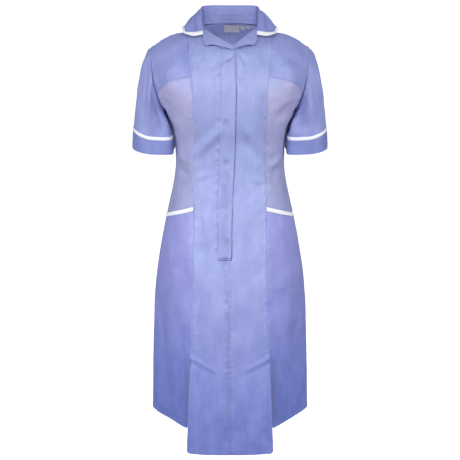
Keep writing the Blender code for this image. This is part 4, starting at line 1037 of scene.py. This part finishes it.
def add_collar(material, white):
    """The turned-down collar and the white binding round its fall."""
    acrosses = np.concatenate((np.linspace(0, 0.26, 15), np.linspace(0.28, 0.40, 8),
                               np.linspace(0.425, COLLAR_TRIM_ACROSS, 24)))
    places, acrosses = np.meshgrid(np.linspace(-COLLAR_TRIM_PLACE, COLLAR_TRIM_PLACE, 161), acrosses)
    grid = collar(places, acrosses)
    normals = collar_normal(places, acrosses)
    sign = 1.0 if normals[-1, 80, 1] > 0 else -1.0
    normals = normals * sign
    relief = 0.0007 * wander(places * 0.15, acrosses * 0.08, 0.045, 401)
    relief += crease_relief(COLLAR_CREASES, places, acrosses)
    relief *= 1 - bell(acrosses - 0.33, 0.06)
    for line in COLLAR_STITCH_SHARES:
        relief -= 0.0010 * bell(acrosses - line, 0.012) * (np.abs(places) < 0.75)
    fall = grid + normals * relief[..., None]
    half = normals * COLLAR_THICKNESS / 2

    ends = np.linspace(0.35, 0.88, 18)
    inner_line = [(COLLAR_TRIM_PLACE, share) for share in ends]
    outer_line = [(1.0, share) for share in ends]
    for angle in np.linspace(0.06, 0.94, 9) * np.pi / 2:
        cosine, sine = np.cos(angle), np.sin(angle)
        inner_line.append((COLLAR_TRIM_PLACE - 0.002 * (1 - cosine), COLLAR_TRIM_ACROSS - 0.003 * (1 - sine)))
        outer_line.append((COLLAR_TRIM_PLACE + (1 - COLLAR_TRIM_PLACE) * cosine ** 0.86,
                           COLLAR_TRIM_ACROSS + (1 - COLLAR_TRIM_ACROSS) * sine ** 0.86))
    for place in np.linspace(0.935, 0, 60):
        inner_line.append((place, COLLAR_TRIM_ACROSS))
        outer_line.append((place, 1.0))
    inner_line, outer_line = (np.array(line + [(-a, b) for a, b in line[-2::-1]])
                              for line in (inner_line, outer_line))
    shares = np.linspace(0, 1, 7)
    spots = inner_line + (outer_line - inner_line) * shares[:, None, None]
    grid = collar(spots[..., 0], spots[..., 1])
    normals = collar_normal(spots[..., 0], spots[..., 1]) * sign
    round_off = (np.sin(np.pi * np.clip(shares, 0.05, 0.95)) ** 0.5)[:, None]
    run = np.arange(len(inner_line))
    ripple = 1 + 0.12 * wander(run * 0.004, run * 0.0, 0.014, 411)
    aside = np.clip((np.abs(grid[..., 0]) - 0.097) / 0.008, 0, 1)
    height = normals * (0.0007 + (0.0012 + 0.0019 * aside) * round_off * ripple)[..., None]
    binding = add_sheet("binding_collar", "collar_trim", grid + height, grid - height, white)
    add_sheet("cloth_collar", "collar", fall + half, fall - half, material, "folded", flat=fall)


def add_revers(material):
    """The two revers folded out over the fronts, with rolled opening edges."""
    for side, word in SIDES:
        first = 0.055 if side > 0 else -0.04
        places = np.concatenate((np.linspace(first, 0.5, 34), np.linspace(0.515, 0.636, 14)))
        reach = BODICE_RISE * curve(REVER_PLACES, REVER_REACHES, np.abs(places))[:, 0]
        steps = np.linspace(0, 1, 22)[:, None]
        levels = TOP - reach * (1 - steps) - 0.0002
        grid = body(places * side, levels, "centre")
        normals = body_normal(places * side, levels, "centre")
        lift = REVER_LIFT[1] + (REVER_LIFT[0] - REVER_LIFT[1]) * steps ** 2
        lift = lift + 0.0014 * bell(steps, 0.16) - 0.0009 * bell(1 - steps, 0.05)
        lift = lift + 0.0012 * np.sin(np.pi * steps) * np.sin(np.pi * np.linspace(0.1, 0.9, len(places)))
        lift = lift + 0.0004 * wander(grid[..., 0], grid[..., 2], 0.04, 431 + side)
        inner = grid + normals * lift[..., None]
        outer = inner + normals * CLOTH * 0.95
        outer[-1] = inner[-1] + normals[-1] * CLOTH * 0.4
        if side < 0:
            outer, inner = outer[:, ::-1], inner[:, ::-1]
        add_sheet(f"cloth_rever_{word}", f"rever_{word}", outer, inner, material, "folded")


def add_labels():
    """The bare neck label and size tabs inside the back of the neck."""
    material = woven_material("label_weave", (0.78, 0.71, 0.73), (0.66, 0.59, 0.62), thread=0.0004, bump=0.35)
    for name, (x_from, x_to, length) in LABELS.items():
        across, shares = np.meshgrid(np.linspace(0, 1, 15), np.linspace(1, 0, 16))
        level = TOP - 0.0012 - length * 0.78 * shares
        place = 4 - (x_from + (x_to - x_from) * across) / 0.0985
        normals = body_normal(place, level, "back")
        gap = CLOTH + LABEL_GAP + 0.0022 * (1 - shares) ** 2 + 0.0008 * np.sin(np.pi * across)
        near = body(place, level, "back") - normals * gap[..., None]
        add_sheet(f"woven_{name}", name, near, near - normals * LABEL_THICKNESS, material, "laid")


def sew(kind, points, normals, stitch=0.0026, gap=0.0009, radius=0.00026):
    """Lays thread stitches of one colour along a line on the cloth."""
    run = run_length(points, 0)
    starts = np.arange(gap / 2, run[-1] - stitch, stitch + gap)
    rise = np.array((-0.9, 0.35, 0.7, 0.35, -0.9)) * radius
    spots = starts[:, None] + stitch * np.array((0, 0.18, 0.5, 0.82, 1.0))
    centre, facing = (np.stack([np.interp(spots, run, line[:, axis]) for axis in range(3)], axis=-1)
                      for line in (points, normals))
    facing = unit(facing)
    side = unit(np.cross(unit(np.gradient(centre, axis=1)), facing))
    centre = centre + facing * rise[:, None]
    width = radius * np.array((0.35, 0.9, 1.0, 0.9, 0.35))[:, None]
    corners = np.stack((centre + facing * width, centre + side * width, centre - facing * width,
                        centre - side * width), axis=2)
    STITCHES[kind].append(corners.reshape(-1, 3))


def sew_body(kind, place, level, layer, lift=0.0, mirror=True, extra=None, **settings):
    """Sews along places and levels of the body, on both sides unless told otherwise."""
    place, level = np.broadcast_arrays(np.asarray(place, float), np.asarray(level, float))
    normals = body_normal(place, level, layer)
    points = body(place, level, layer) + normals * lift
    if extra is not None:
        points = points + normals * extra(points)[:, None]
    for flip in ((1, 1, 1), (-1, 1, 1))[:2 if mirror else 1]:
        seen, turned = points * flip, normals * flip
        sew(kind, seen + turned * cloth_relief(seen, 20)[:, None], turned, **settings)


def add_stitching():
    """All the visible sewing: hems, the placket, pleat tops, pockets, bindings and the neck."""
    line = np.linspace
    sew_body("blue", line(0.02, 0.985, 400), FRONT_HEM + HEM_DEPTH, "centre", 0.0002)
    sew_body("blue", line(1.01, 1.99, 400), SIDE_HEM + HEM_DEPTH, "side", 0.0002)
    sew_body("blue", line(2.01, 3.99, 400), SIDE_HEM + HEM_DEPTH, "back", 0.0002)
    sew_body("blue", line(1.02, 1.98, 400), POCKET_BOTTOM, "side", 0.0002)
    level = line(PLACKET_END + 0.012, -0.062, 400)
    sew_body("blue", stitch_x(level) / seam_x(level), level, "centre", 0.0003, mirror=False)
    turn = line(0, np.pi / 2, 40)
    level = PLACKET_END + 0.012 - 0.014 * np.sin(turn)
    x = LAP_STITCH[0, 1] + 0.014 * (1 - np.cos(turn))
    sew_body("blue", x / seam_x(level), level, "centre", 0.0008, mirror=False)
    for drop in (0.0015, 0.0062):
        level = np.full(90, PLACKET_END - drop)
        sew_body("blue", line(*BAR_TACK, 90) / seam_x(level), level, "centre", 0.0006, mirror=False,
                 stitch=0.0018, gap=0.0001, radius=0.0010)
    for shift in (0.0, PLEAT_STITCH_GAP):
        x = line(PLEAT_STITCH_FROM[0], PLEAT_STITCH_TO, 120)
        level = pleat_line(x) - shift
        sew_body("blue", x / seam_x(level), level, "centre", extra=lambda points: pleat_fan(points[:, 0], level))
    place = line(1.01, 1.99, 200)
    sew_body("white", place, row_level(BINDING_ROW + 0.12, place), "side", 0.0014, radius=0.0002)
    place = line(1.02, 1.98, 200)
    sew_body("blue", place, row_level(YOKE_ROW, place) - 0.004, "side", 0.0001)
    shares = line(-0.72, 0.72, 300)
    for across in COLLAR_STITCH_SHARES:
        normals = -collar_normal(shares, across)
        normals = normals * np.sign(np.sum(normals * (0, -1, 0), axis=1)[150])
        sew("blue", collar(shares, across) + normals * (COLLAR_THICKNESS / 2), normals)
    shares = line(-0.96, 0.96, 500)
    normals = collar_normal(shares, 0.942)
    normals = normals * np.sign(normals[250, 1])
    sew("white", collar(shares, 0.942) + normals * 0.0011, normals, radius=0.0002)
    grid = sleeve_grid(216, 12, 4)
    normals = ring_normals(grid)[4]
    low = grid[0] + (grid[4] - grid[0]) * 0.86
    for flip in ((1, 1, 1), (-1, 1, 1)):
        sew("white", (low + normals * 0.0019) * flip, normals * flip, radius=0.0002)
    threads = (
        ("blue", "periwinkle_cloth", (0.12, 0.15, 0.45), (0.08, 0.10, 0.36)),
        ("white", "white_binding", (0.78, 0.77, 0.82), (0.70, 0.69, 0.75)),
    )
    for kind, slot, light, dark in threads:
        corners = np.concatenate(STITCHES[kind])
        starts = np.arange(len(corners) // 20)[:, None] * 20
        ring = np.arange(4)
        faces = []
        for section in range(0, 16, 4):
            a, b = starts + section + ring, starts + section + (ring + 1) % 4
            faces.append(np.stack((a, b, b + 4, a + 4), axis=-1).reshape(-1, 4))
        faces = np.concatenate(faces + [starts + ring[::-1], starts + 16 + ring]).tolist()
        piece = add_mesh(f"stitches_{kind}", corners, faces, None,
                         woven_material(f"thread_{kind}", light, dark, bump=0.1))
        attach(piece, "root")


def finish_plain_nodes(cloth):
    """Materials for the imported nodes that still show."""
    plastic = bpy.data.materials.new("stud_plastic_worn")
    plastic.use_nodes = True
    tree = plastic.node_tree
    shader = tree.nodes["Principled BSDF"]
    shader.inputs["Base Color"].default_value = (0.74, 0.74, 0.78, 1)
    noise = node(tree, "ShaderNodeTexNoise", {"Scale": 300}).outputs["Fac"]
    spread = node(tree, "ShaderNodeMapRange", {"To Min": 0.32, "To Max": 0.5, "Value": noise})
    tree.links.new(spread.outputs["Result"], shader.inputs["Roughness"])
    for name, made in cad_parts.items():
        if name.startswith("press_stud") or name == "front_underlap":
            made.data.materials.clear()
            made.data.materials.append(cloth if name == "front_underlap" else plastic)


def add_object(name, data, place=(0, 0, 0), turn=(0, 0, 0)):
    """An object of the stage, linked to the scene."""
    made = bpy.data.objects.new(name, data)
    made.location = place
    made.rotation_euler = turn
    bpy.context.collection.objects.link(made)
    return made


def add_stage():
    """A plain pale floor and backdrop, a pale world, soft lights and the camera."""
    pale = bpy.data.materials.new("pale_floor")
    pale.use_nodes = True
    values = {"Base Color": (0.9, 0.9, 0.9, 1), "Roughness": 0.9, "Emission Color": (1, 1, 1, 1),
              "Emission Strength": 0.9}
    for socket, value in values.items():
        pale.node_tree.nodes["Principled BSDF"].inputs[socket].default_value = value
    floor, backdrop = bpy.data.meshes.new("floor"), bpy.data.meshes.new("backdrop")
    corners = [(x * STAGE_REACH, y * STAGE_REACH, FLOOR_LEVEL) for x, y in ((-1, -1), (1, -1), (1, 1), (-1, 1))]
    floor.from_pydata(corners, [], [(0, 1, 2, 3)])
    sphere = bmesh.new()
    bmesh.ops.create_uvsphere(sphere, u_segments=48, v_segments=24, radius=STAGE_REACH)
    sphere.to_mesh(backdrop)
    sphere.free()
    for mesh in (floor, backdrop):
        mesh.materials.append(pale)
        stage = add_object(mesh.name, mesh)
        stage.visible_diffuse = False
        stage.visible_glossy = False
        stage.visible_shadow = False
    world = bpy.data.worlds.new("studio")
    world.use_nodes = True
    world.node_tree.nodes["Background"].inputs["Color"].default_value = SKY
    world.node_tree.nodes["Background"].inputs["Strength"].default_value = AMBIENT
    bpy.context.scene.world = world
    for name, place, aim, width, softness, power, colour in SPOTS:
        data = bpy.data.lights.new(name, "SPOT")
        data.spot_size = math.radians(width)
        data.spot_blend = 1.0
        data.shadow_soft_size = softness
        data.energy = power
        data.color = colour
        toward = mathutils.Vector(aim) - mathutils.Vector(place)
        add_object(name, data, place, toward.to_track_quat("-Z", "Y").to_euler())
    data = bpy.data.cameras.new("camera")
    data.sensor_fit = "HORIZONTAL"
    data.angle = math.radians(CAMERA_ANGLE)
    bpy.context.scene.camera = add_object("camera", data, CAMERA_PLACE, (math.radians(90 - CAMERA_TILT), 0, 0))
    bpy.context.scene.view_settings.view_transform = "Standard"


def main():
    """Dresses the frame."""
    light, dark = (0.345, 0.398, 0.690), (0.245, 0.285, 0.585)
    # The low colours are painted shade: the cloth turns darker and bluer towards the hem.
    low, blush = ((0.245, 0.282, 0.670), (0.140, 0.175, 0.545)), (0.325, 0.335, 0.640)
    cloth = woven_material("periwinkle_weave", light, dark, low, blush=blush)
    front = woven_material("periwinkle_weave_front", light, dark, low, blush=blush, shade_and_tint_marks=FRONT_SHADE_AND_TINT_MARKS)
    upper = woven_material("periwinkle_weave_upper", (0.315, 0.360, 0.690), (0.220, 0.257, 0.585),
                           blush=(0.280, 0.300, 0.620))
    # The side bodice: a pinker copy of the cloth, made lighter as painted light where the sides turn from the lamps;
    # lower down it fades to darker, bluer colours.
    warm_painted_light = woven_material("periwinkle_weave_side_bodice_painted_light", (0.474, 0.463, 0.725), (0.360, 0.345, 0.610),
                          low=((0.350, 0.368, 0.610), (0.268, 0.280, 0.520)), levels=(-0.17, -0.36),
                          blush=(0.380, 0.350, 0.600), shade_and_tint_marks=SIDE_MARKS)
    # The skirt sides: a darker copy of the cloth, painted shade where they turn from the lamps, deepening further
    # towards the hem.
    deep_painted_shade = woven_material("periwinkle_weave_side_skirt_painted_shade", (0.320, 0.335, 0.690), (0.235, 0.245, 0.590),
                          low=((0.225, 0.278, 0.735), (0.145, 0.185, 0.595)), blush=(0.255, 0.250, 0.600),
                          shade_and_tint_marks=PLEAT_PAINTED_SHADOW)
    back = woven_material("periwinkle_weave_back", (0.350, 0.377, 0.688), (0.255, 0.277, 0.588),
                          low=((0.205, 0.255, 0.715), (0.125, 0.165, 0.580)), blush=(0.300, 0.312, 0.625))
    # The cuffs: a darker copy of the cloth, painted shade on the turned-back cuffs.
    cuff = woven_material("periwinkle_weave_cuff_painted_shade", (0.225, 0.262, 0.585), (0.150, 0.182, 0.490))
    turned = woven_material("periwinkle_weave_collar", (0.282, 0.322, 0.665), (0.182, 0.216, 0.545),
                            shade_and_tint_marks=COLLAR_PAINTED_SHADE)
    white = woven_material("white_weave", (0.97, 0.94, 0.94), (0.92, 0.89, 0.90), thread=0.0004, bump=0.3)
    add_pocket_bindings(white)
    add_centre_fronts(front)
    add_sides_and_back(back, upper, warm_painted_light, deep_painted_shade)
    add_sleeves(upper, cuff, white)
    add_kick_pleats(cloth)
    add_collar(turned, white)
    add_revers(cloth)
    add_labels()
    add_stitching()
    finish_plain_nodes(cloth)
    add_stage()
    for name, (width, length, area) in FLAT_SIZES.items():
        print(f"FLAT {name} {width} x {length} m, {area} m2")


main()
